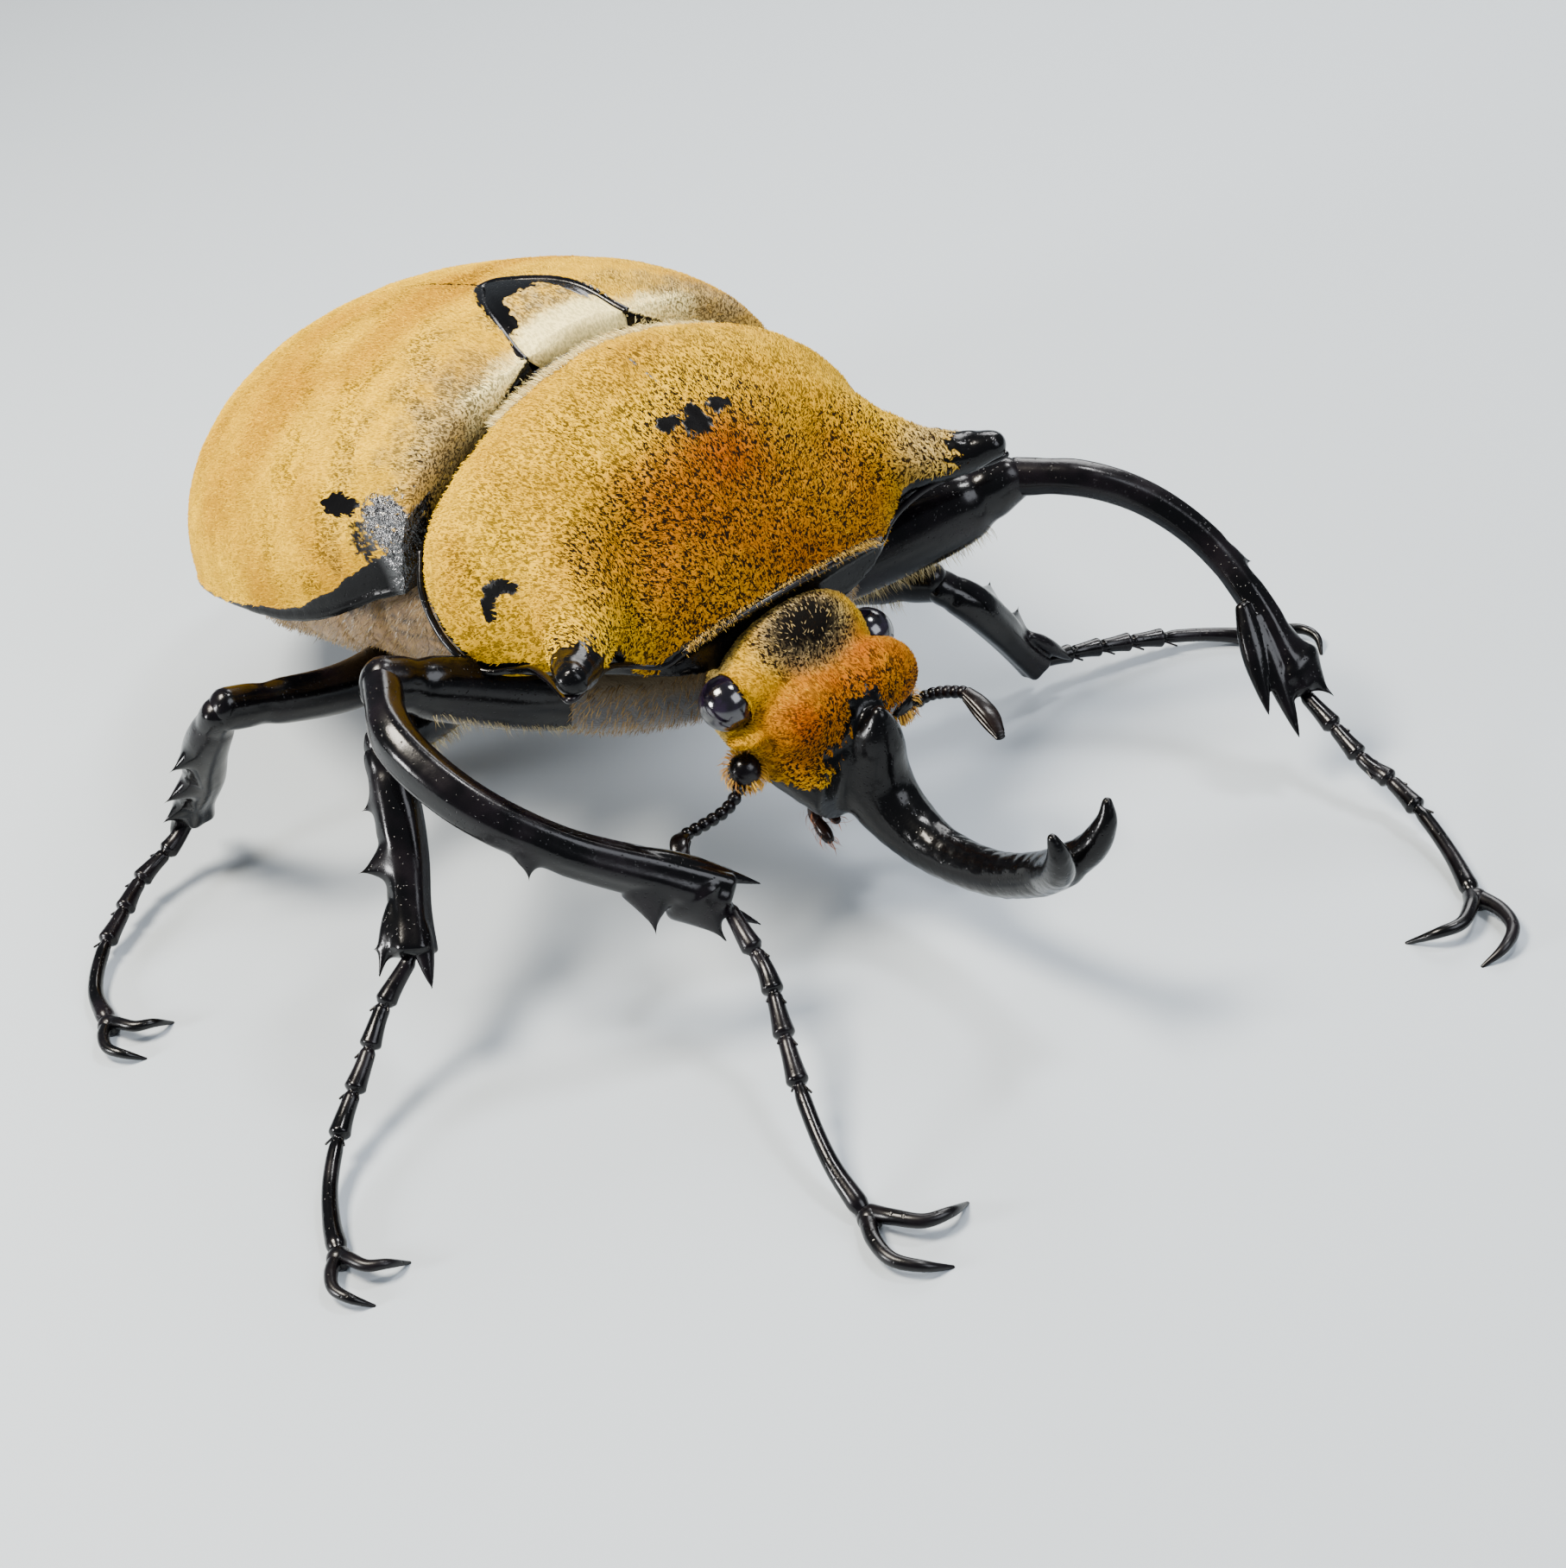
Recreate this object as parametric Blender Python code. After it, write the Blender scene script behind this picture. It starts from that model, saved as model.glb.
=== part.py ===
"""Male elephant beetle, life size, standing on the floor as a still museum model.

Sizes are in millimetres in the beetle's own frame: the datum is the middle of the
pronotum's hind edge, +X is the beetle's left, -Y is forward and +Z is up. place()
turns them into metres with the floor at z = 0 and the middle of the box over x = y = 0.
"""

import math

import bmesh
import bpy
import numpy as np

OBJECT_NAME = "elephant_beetle"
MM = 0.001
GAP = 0.3
FLOOR_DROP = 43.6
BOX_MIDDLE = (-2.18, -9.4)

# Elytra: a dome on a rim plane that falls to the rear
ELYTRA_TILT = 18.0
ELYTRA_HALF_WIDTH = 25.8
ELYTRA_WIDEST = 25.0
ELYTRA_START = 0.7
ELYTRA_END = 60.0
ELYTRA_HEIGHT = 19.8
ELYTRA_RIM = -13.6
ELYTRA_FRONT_POWER = 2.45
ELYTRA_REAR_POWER = 2.25
SUTURE_GAP = 0.3
SHOULDER_DIP = 1.7
# Rise of the lower edge over the rim plane, along the rim plane
RIM_RISE = ([0, 4, 8, 13, 19, 27, 34, 60], [0.3, 0.3, -0.4, -0.9, -1.2, -0.5, 0, 0])
SCUTELLUM_BASE = (5.0, 0.9)
SCUTELLUM_APEX = 12.6
SCUTELLUM_PROUD = 0.35

# Pronotum: rim and back line, hind edge first
PRONOTUM_RIM = [(19.5, -0.9, -10.5), (21.3, -3.0, -12.9), (21.9, -6.0, -15.6), (21.3, -9.3, -17.3),
                (19.9, -12.3, -16.9), (18.4, -15.5, -16.3), (16.2, -18.8, -16.5), (13.4, -21.2, -17.0)]
PRONOTUM_BACK = [(0, -1.2, 0.0), (0, -4.6, 0.6), (0, -8.2, 0.1), (0, -12.2, -1.5),
                 (0, -15.9, -3.8), (0, -18.9, -7.2), (0, -21.4, -11.3), (0, -22.9, -15.0)]
PRONOTUM_ROUND = (1.65, 2.08)
PRONOTUM_BELLY = 3.0
HORN = [(9.5, -9.8, -8.6, 6.2), (13.5, -14.4, -11.0, 4.9), (17.0, -18.5, -12.6, 3.3), (19.9, -21.8, -12.5, 2.2),
        (22.1, -24.2, -11.8, 1.4)]
HORN_BLACK = 0.82

# Head: sections from the neck forward as (y, centre z, half width, half height)
HEAD_SECTIONS = [(-17.5, -22.0, 5.6, 4.6), (-20.0, -22.3, 7.4, 5.9), (-22.5, -22.05, 8.3, 7.3),
                 (-25.0, -23.1, 8.1, 7.2), (-27.2, -25.6, 7.1, 5.3), (-29.2, -27.4, 5.8, 4.3),
                 (-31.0, -28.9, 4.6, 3.5)]
EYE_CENTRE = (8.6, -24.2, -21.1)
EYE_RADIUS = 2.3
# The head is turned a little about the right eye (x, z): left side down, back and inward
HEAD_ROLL = 9.0
HEAD_TURN = 0.1
HEAD_NARROW = 0.9
HEAD_PIVOT = (-8.6, -21.1)

# Head horn: centre line in the plane of symmetry with half width and half height
HEAD_HORN = [(-26.5, -25.6, 3.3, 5.0), (-29.6, -29.2, 3.1, 4.5), (-32.6, -32.4, 2.7, 3.2),
             (-37.6, -34.2, 2.15, 2.2), (-44.0, -33.4, 1.85, 1.9), (-49.1, -31.0, 1.8, 1.8),
             (-52.3, -28.6, 2.2, 1.7)]
PRONG_TIP = (2.9, -54.5, -22.8)
# Upright tooth over the horn's root, wide fore and aft: (y, z, half width, half length)
BASAL_TOOTH = [(-31.0, -28.2, 2.7, 3.1), (-31.8, -26.0, 2.4, 2.5), (-32.4, -24.0, 1.8, 1.7), (-32.7, -22.5, 0.9, 0.9)]
# Swollen brow across the head behind the horn: (x, y, z, half length, half height)
BROW = [(-5.0, -27.9, -23.6, 2.7, 3.0), (-3.4, -28.2, -23.3, 3.0, 3.4), (0, -28.0, -23.9, 2.9, 3.1),
        (3.4, -28.2, -23.3, 3.0, 3.4), (5.0, -27.9, -23.6, 2.7, 3.0)]

TRUNK_SQUARE = 0.8
# Shares of the faces to keep, tried in turn
KEEP_FACES = (0.66, 0.68, 0.7, 0.72, 0.74, 0.77, 0.8, 0.85, 0.9)
# Hip bulges under the breasts: centre and half sizes
COXAE = [("fore", (6.6, -9.8, -26.4), (5.2, 3.2, 2.9)), ("mid", (6.4, 6.2, -28.6), (5.0, 3.4, 2.4)),
         ("hind", (8.6, 18.4, -29.8), (8.0, 3.4, 2.0))]

# Each leg: thigh from hip to knee, shin with its half widths, tips of teeth and spurs, foot
LEGS = {
    "fore_right": {
        "thigh": [(-8.5, -10.2, -25.6, 2.5), (-16.0, -9.4, -22.6, 3.0), (-23.0, -8.2, -18.9, 2.7),
                  (-29.3, -7.4, -15.2, 2.1)],
        "shin": [(-29.3, -7.7, -15.3, 1.9), (-32.2, -13.6, -16.5, 2.1), (-31.2, -20.2, -19.8, 2.1),
                 (-27.2, -25.6, -23.9, 2.0), (-21.4, -29.4, -28.1, 2.2), (-17.4, -32.1, -31.0, 2.3)],
        "teeth": [(-30.3, -25.6, -25.6), (-23.6, -31.3, -31.9), (-18.9, -33.8, -34.0)],
        "spurs": [(-14.6, -33.4, -31.0), (-16.0, -34.6, -33.6)],
        "foot": [(-17.4, -32.6, -32.0), (-18.2, -35.4, -33.0), (-18.8, -38.4, -34.8), (-21.3, -43.0, -37.0),
                 (-23.6, -47.4, -39.0), (-25.4, -52.0, -41.0), (-26.1, -56.2, -42.9)],
        "claw": 1.0},
    "fore_left": {
        "thigh": [(8.5, -10.2, -25.4, 2.5), (15.5, -13.2, -23.6, 3.2), (22.8, -17.1, -21.3, 3.2),
                  (27.5, -19.7, -19.2, 2.1)],
        "shin": [(27.9, -20.0, -19.0, 1.7), (31.5, -24.6, -19.3, 1.6), (34.9, -28.8, -21.5, 1.5),
                 (36.8, -33.6, -24.8, 1.4), (36.9, -38.6, -28.7, 1.4), (36.5, -42.2, -32.9, 1.8),
                 (36.4, -44.0, -35.6, 2.0)],
        "teeth": [(39.0, -37.2, -26.6), (39.0, -43.4, -32.6), (37.9, -46.6, -36.0)],
        "spurs": [(32.4, -44.1, -36.0), (33.8, -46.2, -38.2)],
        "foot": [(36.6, -44.4, -36.0), (36.3, -47.4, -37.4), (35.7, -51.7, -39.3), (35.9, -54.2, -40.2),
                 (34.9, -58.4, -41.2), (33.2, -62.6, -42.2), (31.0, -66.4, -42.9)],
        "claw": 1.0},
    "mid_right": {
        "thigh": [(-8.5, 6.0, -27.6, 2.3), (-16.0, 2.2, -26.0, 2.5), (-24.0, -3.0, -23.4, 2.2),
                  (-30.2, -6.7, -21.2, 1.8)],
        "shin": [(-30.4, -7.2, -21.7, 1.7), (-31.7, -9.7, -24.6, 2.0), (-33.3, -12.2, -27.8, 1.9),
                 (-35.2, -14.6, -30.6, 1.7), (-36.9, -16.6, -32.8, 2.0)],
        "teeth": [(-34.3, -7.8, -25.0), (-37.2, -10.6, -28.0), (-39.4, -14.6, -32.2)],
        "spurs": [(-39.9, -15.9, -34.0), (-37.4, -19.4, -34.8)],
        "foot": [(-37.2, -16.7, -33.2), (-40.7, -17.0, -35.8), (-44.3, -18.7, -38.3), (-48.6, -21.1, -40.5),
                 (-51.9, -24.1, -41.8), (-54.0, -27.2, -42.5), (-55.3, -30.0, -42.9)],
        "claw": 0.72},
    "mid_left": {
        "thigh": [(8.5, 5.2, -27.6, 2.3), (13.0, -2.4, -28.2, 2.5), (17.6, -9.6, -28.4, 2.2),
                  (21.3, -15.4, -28.2, 1.8)],
        "shin": [(21.6, -15.8, -28.6, 1.7), (23.8, -17.5, -31.0, 2.0), (25.8, -18.3, -34.0, 1.9),
                 (27.6, -18.6, -37.0, 1.7), (29.4, -18.8, -39.4, 2.0)],
        "teeth": [(28.2, -15.2, -31.4), (30.4, -16.2, -34.8), (32.4, -17.0, -38.8)],
        "spurs": [(32.4, -20.6, -40.2), (31.0, -17.4, -42.2)],
        "foot": [(30.0, -18.9, -39.8), (33.4, -19.4, -40.4), (37.0, -20.5, -41.0), (40.6, -22.0, -41.6),
                 (44.0, -23.8, -42.2), (46.6, -26.0, -42.6), (48.6, -28.6, -42.9)],
        "claw": 0.72},
    "hind_right": {
        "thigh": [(-8.5, 18.6, -29.0, 2.4), (-16.0, 14.0, -28.4, 2.5), (-24.4, 10.8, -26.2, 2.1),
                  (-35.2, 10.0, -22.1, 1.8)],
        "shin": [(-35.5, 10.3, -22.4, 1.8), (-36.4, 13.6, -27.0, 2.2), (-36.0, 16.6, -31.4, 2.0),
                 (-36.3, 19.4, -35.0, 1.9), (-36.3, 21.0, -37.2, 2.1)],
        "teeth": [(-40.4, 13.6, -27.6), (-40.4, 17.0, -32.4), (-40.0, 20.2, -36.4)],
        "spurs": [(-35.0, 24.2, -38.6), (-38.6, 22.4, -39.8)],
        "foot": [(-36.6, 21.2, -37.8), (-39.2, 21.0, -39.5), (-43.2, 20.2, -40.6), (-46.8, 17.9, -41.4),
                 (-50.0, 15.7, -42.1), (-52.8, 12.2, -42.7), (-54.0, 8.0, -42.9)],
        "claw": 0.72},
    "hind_left": {
        "thigh": [(8.5, 18.6, -29.0, 2.4), (16.0, 19.6, -28.6, 2.5), (24.0, 21.8, -26.4, 2.1),
                  (31.0, 24.0, -22.9, 1.8)],
        "shin": [(31.2, 24.5, -23.2, 1.8), (32.6, 28.4, -27.4, 2.2), (33.2, 32.2, -31.4, 2.0),
                 (33.4, 35.6, -35.0, 1.9), (33.4, 37.6, -37.4, 2.1)],
        "teeth": [(36.6, 27.0, -28.2), (37.6, 31.4, -32.8), (37.6, 35.8, -36.6)],
        "spurs": [(31.0, 39.8, -39.4), (35.2, 40.4, -39.2)],
        "foot": [(33.6, 37.8, -38.0), (34.8, 40.4, -39.6), (36.4, 43.8, -40.6), (38.6, 47.4, -41.4),
                 (41.4, 50.2, -42.1), (44.6, 51.6, -42.7), (48.0, 51.4, -42.9)],
        "claw": 0.72},
}
# A tooth starts this many of the shin's forty steps above its tip
TOOTH_LEAN = 4
TOOTH_ROOT = 2.0
SPUR_ROOT = 1.15
FOOT_RADIUS = 0.72
FOOT_JOINTS = (0.16, 0.3, 0.44, 0.59)
# A claw as (ahead, inward, up, half width) from the end of the foot
CLAWS = ([(0.6, 0.3, 0.2, 0.7), (2.4, 1.1, 0.7, 0.62), (4.2, 2.6, 0.8, 0.55), (4.5, 4.7, 0.6, 0.44),
          (3.4, 6.8, -0.7, 0.2)],
         [(0.8, -0.2, 0.1, 0.7), (3.2, -1.1, 0.4, 0.62), (5.6, -1.1, 0.4, 0.55), (7.4, 0.4, 0.2, 0.44),
          (8.0, 2.4, -0.7, 0.2)])


def table(rows):
    return np.array(rows, float)


def smooth_path(rows, count):
    """Rows read evenly, by the length of their first three columns, from a Catmull-Rom curve."""
    rows = table(rows)
    ends = np.vstack([2 * rows[0] - rows[1], rows, 2 * rows[-1] - rows[-2]])
    t = np.linspace(0, 1, 17)[:-1, None]
    spans = []
    for a, b, c, d in zip(ends[:-3], ends[1:-2], ends[2:-1], ends[3:]):
        spans.append(0.5 * (2 * b + (c - a) * t + (2 * a - 5 * b + 4 * c - d) * t**2
                            + (3 * b - a - 3 * c + d) * t**3))
    fine = np.vstack(spans + [rows[-1:]])
    steps = np.linalg.norm(np.diff(fine[:, :3], axis=0), axis=1)
    length = np.concatenate([[0], np.cumsum(steps)])
    even = np.linspace(0, length[-1], count)
    return np.column_stack([np.interp(even, length, column) for column in fine.T])


def place(points):
    """Beetle-frame millimetres to metres over the floor."""
    moved = np.asarray(points, float) - [BOX_MIDDLE[0], BOX_MIDDLE[1], -FLOOR_DROP]
    return moved * MM


def mesh_object(name, points, faces):
    mesh = bpy.data.meshes.new(name)
    mesh.from_pydata([tuple(p) for p in place(points)], [], faces)
    shape = bmesh.new()
    shape.from_mesh(mesh)
    bmesh.ops.remove_doubles(shape, verts=shape.verts, dist=0.00001)
    bmesh.ops.recalc_face_normals(shape, faces=shape.faces)
    shape.to_mesh(mesh)
    shape.free()
    made = bpy.data.objects.new(name, mesh)
    bpy.context.scene.collection.objects.link(made)
    return made


def loft(name, rings):
    """A closed skin over rings of equal count, with each end closed on its middle."""
    rings = np.asarray(rings, float)
    count, sides, _ = rings.shape
    points = rings.reshape(-1, 3).tolist()
    faces = []
    for i in range(count - 1):
        for j in range(sides):
            k = (j + 1) % sides
            faces.append((i * sides + j, i * sides + k, (i + 1) * sides + k, (i + 1) * sides + j))
    for i in (0, count - 1):
        middle = len(points)
        points.append(rings[i].mean(axis=0).tolist())
        for j in range(sides):
            faces.append((i * sides + j, i * sides + (j + 1) % sides, middle))
    return mesh_object(name, points, faces)


def limb(name, rows, up=(0, 0, 1), count=12, sides=10):
    """A rounded rod along rows of (x, y, z, half width, half depth), depth towards up."""
    path = smooth_path(rows, count)
    centre, half = path[:, :3], path[:, 3:5]
    along = np.gradient(centre, axis=0)
    along /= np.linalg.norm(along, axis=1)[:, None]
    side = np.cross(along, up)
    side /= np.linalg.norm(side, axis=1)[:, None]
    top = np.cross(side, along)
    angle = np.linspace(0, 2 * math.pi, sides, endpoint=False)
    rings = []
    first, last = half[0].mean(), half[-1].mean()
    for reach, share in ((0.75, 0.6), (0.35, 0.9)):
        rings.append((centre[0] - along[0] * first * reach, half[0] * share, side[0], top[0]))
    for i in range(count):
        rings.append((centre[i], half[i], side[i], top[i]))
    for reach, share in ((0.35, 0.9), (0.75, 0.6)):
        rings.append((centre[-1] + along[-1] * last * reach, half[-1] * share, side[-1], top[-1]))
    shaped = []
    for middle, size, across, upward in rings:
        shaped.append(middle + np.cos(angle)[:, None] * across * size[0]
                      + np.sin(angle)[:, None] * upward * size[1])
    return loft(name, shaped)


def spine(name, base, tip, radius, sides=6, bend=(0, 0, 0)):
    """A tapered spine from a sunk base to a blunt tip, bowed by bend at its middle."""
    base, tip, bend = table(base), table(tip), table(bend)
    along = (tip - base) / np.linalg.norm(tip - base)
    across = np.cross(along, (0.3, 0.2, 1.0))
    across /= np.linalg.norm(across)
    upward = np.cross(across, along)
    angle = np.linspace(0, 2 * math.pi, sides, endpoint=False)
    rings = []
    for share, size in ((0, 1.0), (0.3, 0.8), (0.62, 0.45), (1.0, 0.13)):
        middle = base + (tip - base) * share + bend * 4 * share * (1 - share)
        rings.append(middle + radius * size * (np.cos(angle)[:, None] * across
                                               + np.sin(angle)[:, None] * upward))
    return loft(name, rings)


def ball(name, centre, radii, rings=10, sides=14):
    shape = bmesh.new()
    bmesh.ops.create_uvsphere(shape, u_segments=sides, v_segments=rings, radius=1.0)
    points = np.array([v.co for v in shape.verts]) * radii + np.array(centre)
    for vertex, point in zip(shape.verts, place(points)):
        vertex.co = point
    mesh = bpy.data.meshes.new(name)
    shape.to_mesh(mesh)
    shape.free()
    made = bpy.data.objects.new(name, mesh)
    bpy.context.scene.collection.objects.link(made)
    return made


def keep_largest(made):
    """Leaves only the closed surface that encloses the most."""
    shape = bmesh.new()
    shape.from_mesh(made.data)
    left = set(shape.verts)
    groups = []
    while left:
        stack = [left.pop()]
        group = set(stack)
        while stack:
            for edge in stack.pop().link_edges:
                for vertex in edge.verts:
                    if vertex in left:
                        left.remove(vertex)
                        group.add(vertex)
                        stack.append(vertex)
        groups.append(group)
    if len(groups) > 1:
        def size(group):
            spots = np.array([v.co for v in group])
            return float(np.prod(spots.max(axis=0) - spots.min(axis=0) + 1e-6))
        best = max(groups, key=size)
        bmesh.ops.delete(shape, geom=[v for v in shape.verts if v not in best], context="VERTS")
        shape.to_mesh(made.data)
    shape.free()


def apply_modifiers(made):
    bpy.context.view_layer.update()
    graph = bpy.context.evaluated_depsgraph_get()
    mesh = bpy.data.meshes.new_from_object(made.evaluated_get(graph))
    old = made.data
    made.modifiers.clear()
    made.data = mesh
    bpy.data.meshes.remove(old)
    mesh.name = made.name


def remove(made):
    mesh = made.data
    bpy.data.objects.remove(made)
    bpy.data.meshes.remove(mesh)


def join(main, pieces, solver="MANIFOLD"):
    """One union of the main shape with its pieces, which are then removed."""
    group = bpy.data.collections.new("pieces")
    for piece in pieces:
        group.objects.link(piece)
    union = main.modifiers.new("union", "BOOLEAN")
    union.operation = "UNION"
    union.operand_type = "COLLECTION"
    union.collection = group
    union.solver = solver
    apply_modifiers(main)
    for piece in pieces:
        remove(piece)
    bpy.data.collections.remove(group)
    keep_largest(main)
    return main


def clear_of(made, *neighbours):
    """Cuts each neighbour, grown by the gap, out of the shape."""
    for neighbour in neighbours:
        cutter = neighbour.copy()
        cutter.data = neighbour.data.copy()
        bpy.context.scene.collection.objects.link(cutter)
        grow = cutter.modifiers.new("grow", "DISPLACE")
        grow.strength = GAP * 1.15 * MM
        grow.mid_level = 0
        apply_modifiers(cutter)
        cut = made.modifiers.new("cut", "BOOLEAN")
        cut.object = cutter
        cut.solver = "MANIFOLD"
        apply_modifiers(made)
        remove(cutter)
    keep_largest(made)
    return made


def is_closed(mesh):
    shape = bmesh.new()
    shape.from_mesh(mesh)
    closed = all(len(edge.link_faces) == 2 for edge in shape.edges)
    shape.free()
    return closed


def thin_out(made):
    """Merges the small faces that unions leave, as far as the surface stays closed."""
    whole = made.data.copy()
    for share in KEEP_FACES:
        merge = made.modifiers.new("merge", "DECIMATE")
        merge.ratio = share
        merge.use_collapse_triangulate = True
        apply_modifiers(made)
        if is_closed(made.data):
            break
        made.data = whole.copy()
    return made


def flatten(made, level=0.0):
    """Lays what is below the level flat on it."""
    for vertex in made.data.vertices:
        vertex.co.z = max(vertex.co.z, level)
    return made


def turned(points, degrees):
    """Points turned about the X axis through the datum, rear end down."""
    a = math.radians(degrees)
    x, y, z = np.asarray(points, float).T
    return np.column_stack([x, y * math.cos(a) + z * math.sin(a), z * math.cos(a) - y * math.sin(a)])


def rolled(points):
    """Points turned with the head about the right eye."""
    points = np.array(points, dtype=float)
    points[:, 0] *= np.where(points[:, 0] > 0, HEAD_NARROW, 1.0)
    points[:, 1] += HEAD_TURN * (points[:, 0] - HEAD_PIVOT[0])
    angle = math.radians(HEAD_ROLL)
    x, z = points[:, 0] - HEAD_PIVOT[0], points[:, 2] - HEAD_PIVOT[1]
    points[:, 0] = HEAD_PIVOT[0] + x * math.cos(angle) + z * math.sin(angle)
    points[:, 2] = HEAD_PIVOT[1] - x * math.sin(angle) + z * math.cos(angle)
    return points


def elytra_size(y):
    """Half width and height of the elytra's dome at a length y along its rim plane."""
    fore = (y - ELYTRA_WIDEST) / (ELYTRA_WIDEST + 11.0)
    aft = (y - ELYTRA_WIDEST) / (ELYTRA_END - ELYTRA_WIDEST)
    u = np.clip(np.abs(np.where(y < ELYTRA_WIDEST, fore, aft)), 0, 1)
    power = np.where(y < ELYTRA_WIDEST, ELYTRA_FRONT_POWER, ELYTRA_REAR_POWER)
    share = (1 - u**power) ** (1 / power)
    width = ELYTRA_HALF_WIDTH * share
    height = ELYTRA_HEIGHT * share
    return width, height


def elytra_top(x, y):
    """Height of the dome over the rim plane at (x, y), both in the rim plane's frame."""
    width, height = elytra_size(y)
    across = np.clip(np.abs(x) / np.maximum(width, 0.001), 0, 1)
    dip = SHOULDER_DIP * np.exp(-((y - ELYTRA_START) / 3.5) ** 2) * (1 - across**2) ** 2
    return (height - dip) * np.sqrt(1 - across**2)


def build_elytron(name, side):
    """Half of the dome with its flat inner face along the suture and a flat underside."""
    share = np.array([0, 0.04, 0.1, 0.18, 0.28, 0.4, 0.53, 0.66, 0.78, 0.88, 0.95, 0.985])
    turn = np.array([1, 0.93, 0.84, 0.73, 0.61, 0.48, 0.35, 0.22, 0.1, 0])
    lean = math.tan(math.radians(ELYTRA_TILT))
    rings = []
    for s in share:
        y = ELYTRA_START + (ELYTRA_END - 0.2 - ELYTRA_START) * s
        width, height = elytra_size(y)
        rise = np.interp(y, *RIM_RISE) * min(1, height / 10)
        angle = turn * math.acos(rise / height)
        x = np.maximum(width * np.sin(angle), SUTURE_GAP / 2)
        z = ELYTRA_RIM + np.where(np.cos(angle) > 0, elytra_top(x, y), height * np.cos(angle))
        outer = np.column_stack([side * x, np.full_like(x, y), z])
        low = ELYTRA_RIM + rise
        inner = np.array([[side * SUTURE_GAP / 2, y, ELYTRA_RIM + height * 0.5],
                          [side * SUTURE_GAP / 2, y, low], [side * width * 0.55, y, low]])
        ring = np.vstack([outer, inner])
        ring[:, 1] -= ring[:, 2] * lean * (1 - s) ** 4
        rings.append(turned(ring, ELYTRA_TILT))
    return loft(name, rings)


def build_pronotum():
    """The shield over the fore body, its horn bases joined on."""
    count = 15
    rim, back = smooth_path(PRONOTUM_RIM, count), smooth_path(PRONOTUM_BACK, count)
    shares = np.linspace(0, 1, count)
    angle = np.radians(np.linspace(-90, 90, 25))
    rings = []
    for s, r, m in zip(shares, rim, back):
        n = PRONOTUM_ROUND[0] + (PRONOTUM_ROUND[1] - PRONOTUM_ROUND[0]) * min(1, s / 0.3)
        across = np.sign(np.sin(angle)) * np.abs(np.sin(angle)) ** (2 / n)
        rise = np.abs(np.cos(angle)) ** (2 / n)
        upper = np.column_stack([r[0] * across, r[1] + (m[1] - r[1]) * rise, r[2] + (m[2] - r[2]) * rise])
        low = np.radians(np.linspace(90, -90, 13))[1:-1]
        lower = np.column_stack([r[0] * np.sin(low), r[1] + (m[1] - r[1]) * np.cos(low) * 0.5,
                                 r[2] - PRONOTUM_BELLY * np.cos(low)])
        rings.append(np.vstack([upper, lower]))
    return loft("pronotum", rings)


def build_horns(pronotum):
    """Velvet bases joined to the pronotum and the bare black tips as nodes of their own."""
    tips = []
    bases = []
    for side, word in ((-1, "right"), (1, "left")):
        path = smooth_path([(side * x, y, z, r, r * 0.9) for x, y, z, r in HORN], 41)
        split = int(HORN_BLACK * 40)
        bases.append(limb(f"base_{word}", path[:split], count=9, sides=14))
        tips.append(limb(f"pronotum_horn_{word}", path[split:], count=6, sides=12))
    join(pronotum, bases)
    for tip in tips:
        clear_of(tip, pronotum)
    return tips


def build_head():
    path = smooth_path([(0, y, z, w, h) for y, z, w, h in HEAD_SECTIONS], 11)
    angle = np.linspace(0, 2 * math.pi, 18, endpoint=False)
    rings = []
    for _, y, z, w, h in path:
        x = w * np.sign(np.cos(angle)) * np.abs(np.cos(angle)) ** 0.9
        lift = h * np.sin(angle)
        rings.append(np.column_stack([x, y - lift * 0.25, z + lift]))
    head = loft("head", [rolled(ring) for ring in rings])
    bridge = rolled([(0, -27.0, -23.0)])[0]
    extra = [limb("brow", BROW, count=8, sides=12), ball("bridge", bridge, (6.2, 3.6, 4.0), 6, 10)]
    for side in (-1, 1):
        rows = [(side * 5.2, -25.2, -23.4, 1.2, 0.9), (side * 8.2, -26.5, -23.5, 1.4, 0.68),
                (side * 8.8, -25.3, -23.9, 0.85, 0.6)]
        rows = [(*rolled([row[:3]])[0], *row[3:]) for row in rows]
        extra.append(limb("canthus", rows, count=5, sides=7))
    clypeus = [(-4.6, -27.8, -30.4, 0.9, 1.2), (0, -30.4, -32.2, 1.4, 1.3), (4.6, -27.8, -30.4, 0.9, 1.2)]
    extra.append(limb("clypeus", clypeus, count=7, sides=8))
    return join(head, extra)


def build_head_horn():
    """Curved horn with a tooth over its root and a fork at its tip."""
    rows = [(0, y, z, w, h) for y, z, w, h in HEAD_HORN]
    horn = limb("head_horn", rows, count=15, sides=12)
    pieces = [limb("tooth", [(0, *row) for row in BASAL_TOOTH], up=(0, 1, 0), count=6, sides=9)]
    for side in (-1, 1):
        tip = (side * PRONG_TIP[0], PRONG_TIP[1], PRONG_TIP[2])
        rows = [(side * 0.5, -51.2, -29.6, 1.6, 1.6), (side * 1.7, -53.6, -27.2, 1.35, 1.3),
                (side * 2.5, -54.6, -24.8, 0.9, 0.9), (*tip, 0.35, 0.35)]
        pieces.append(limb("prong", rows, up=(0, 1, 0.4), count=6, sides=7))
    return join(horn, pieces)


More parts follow.
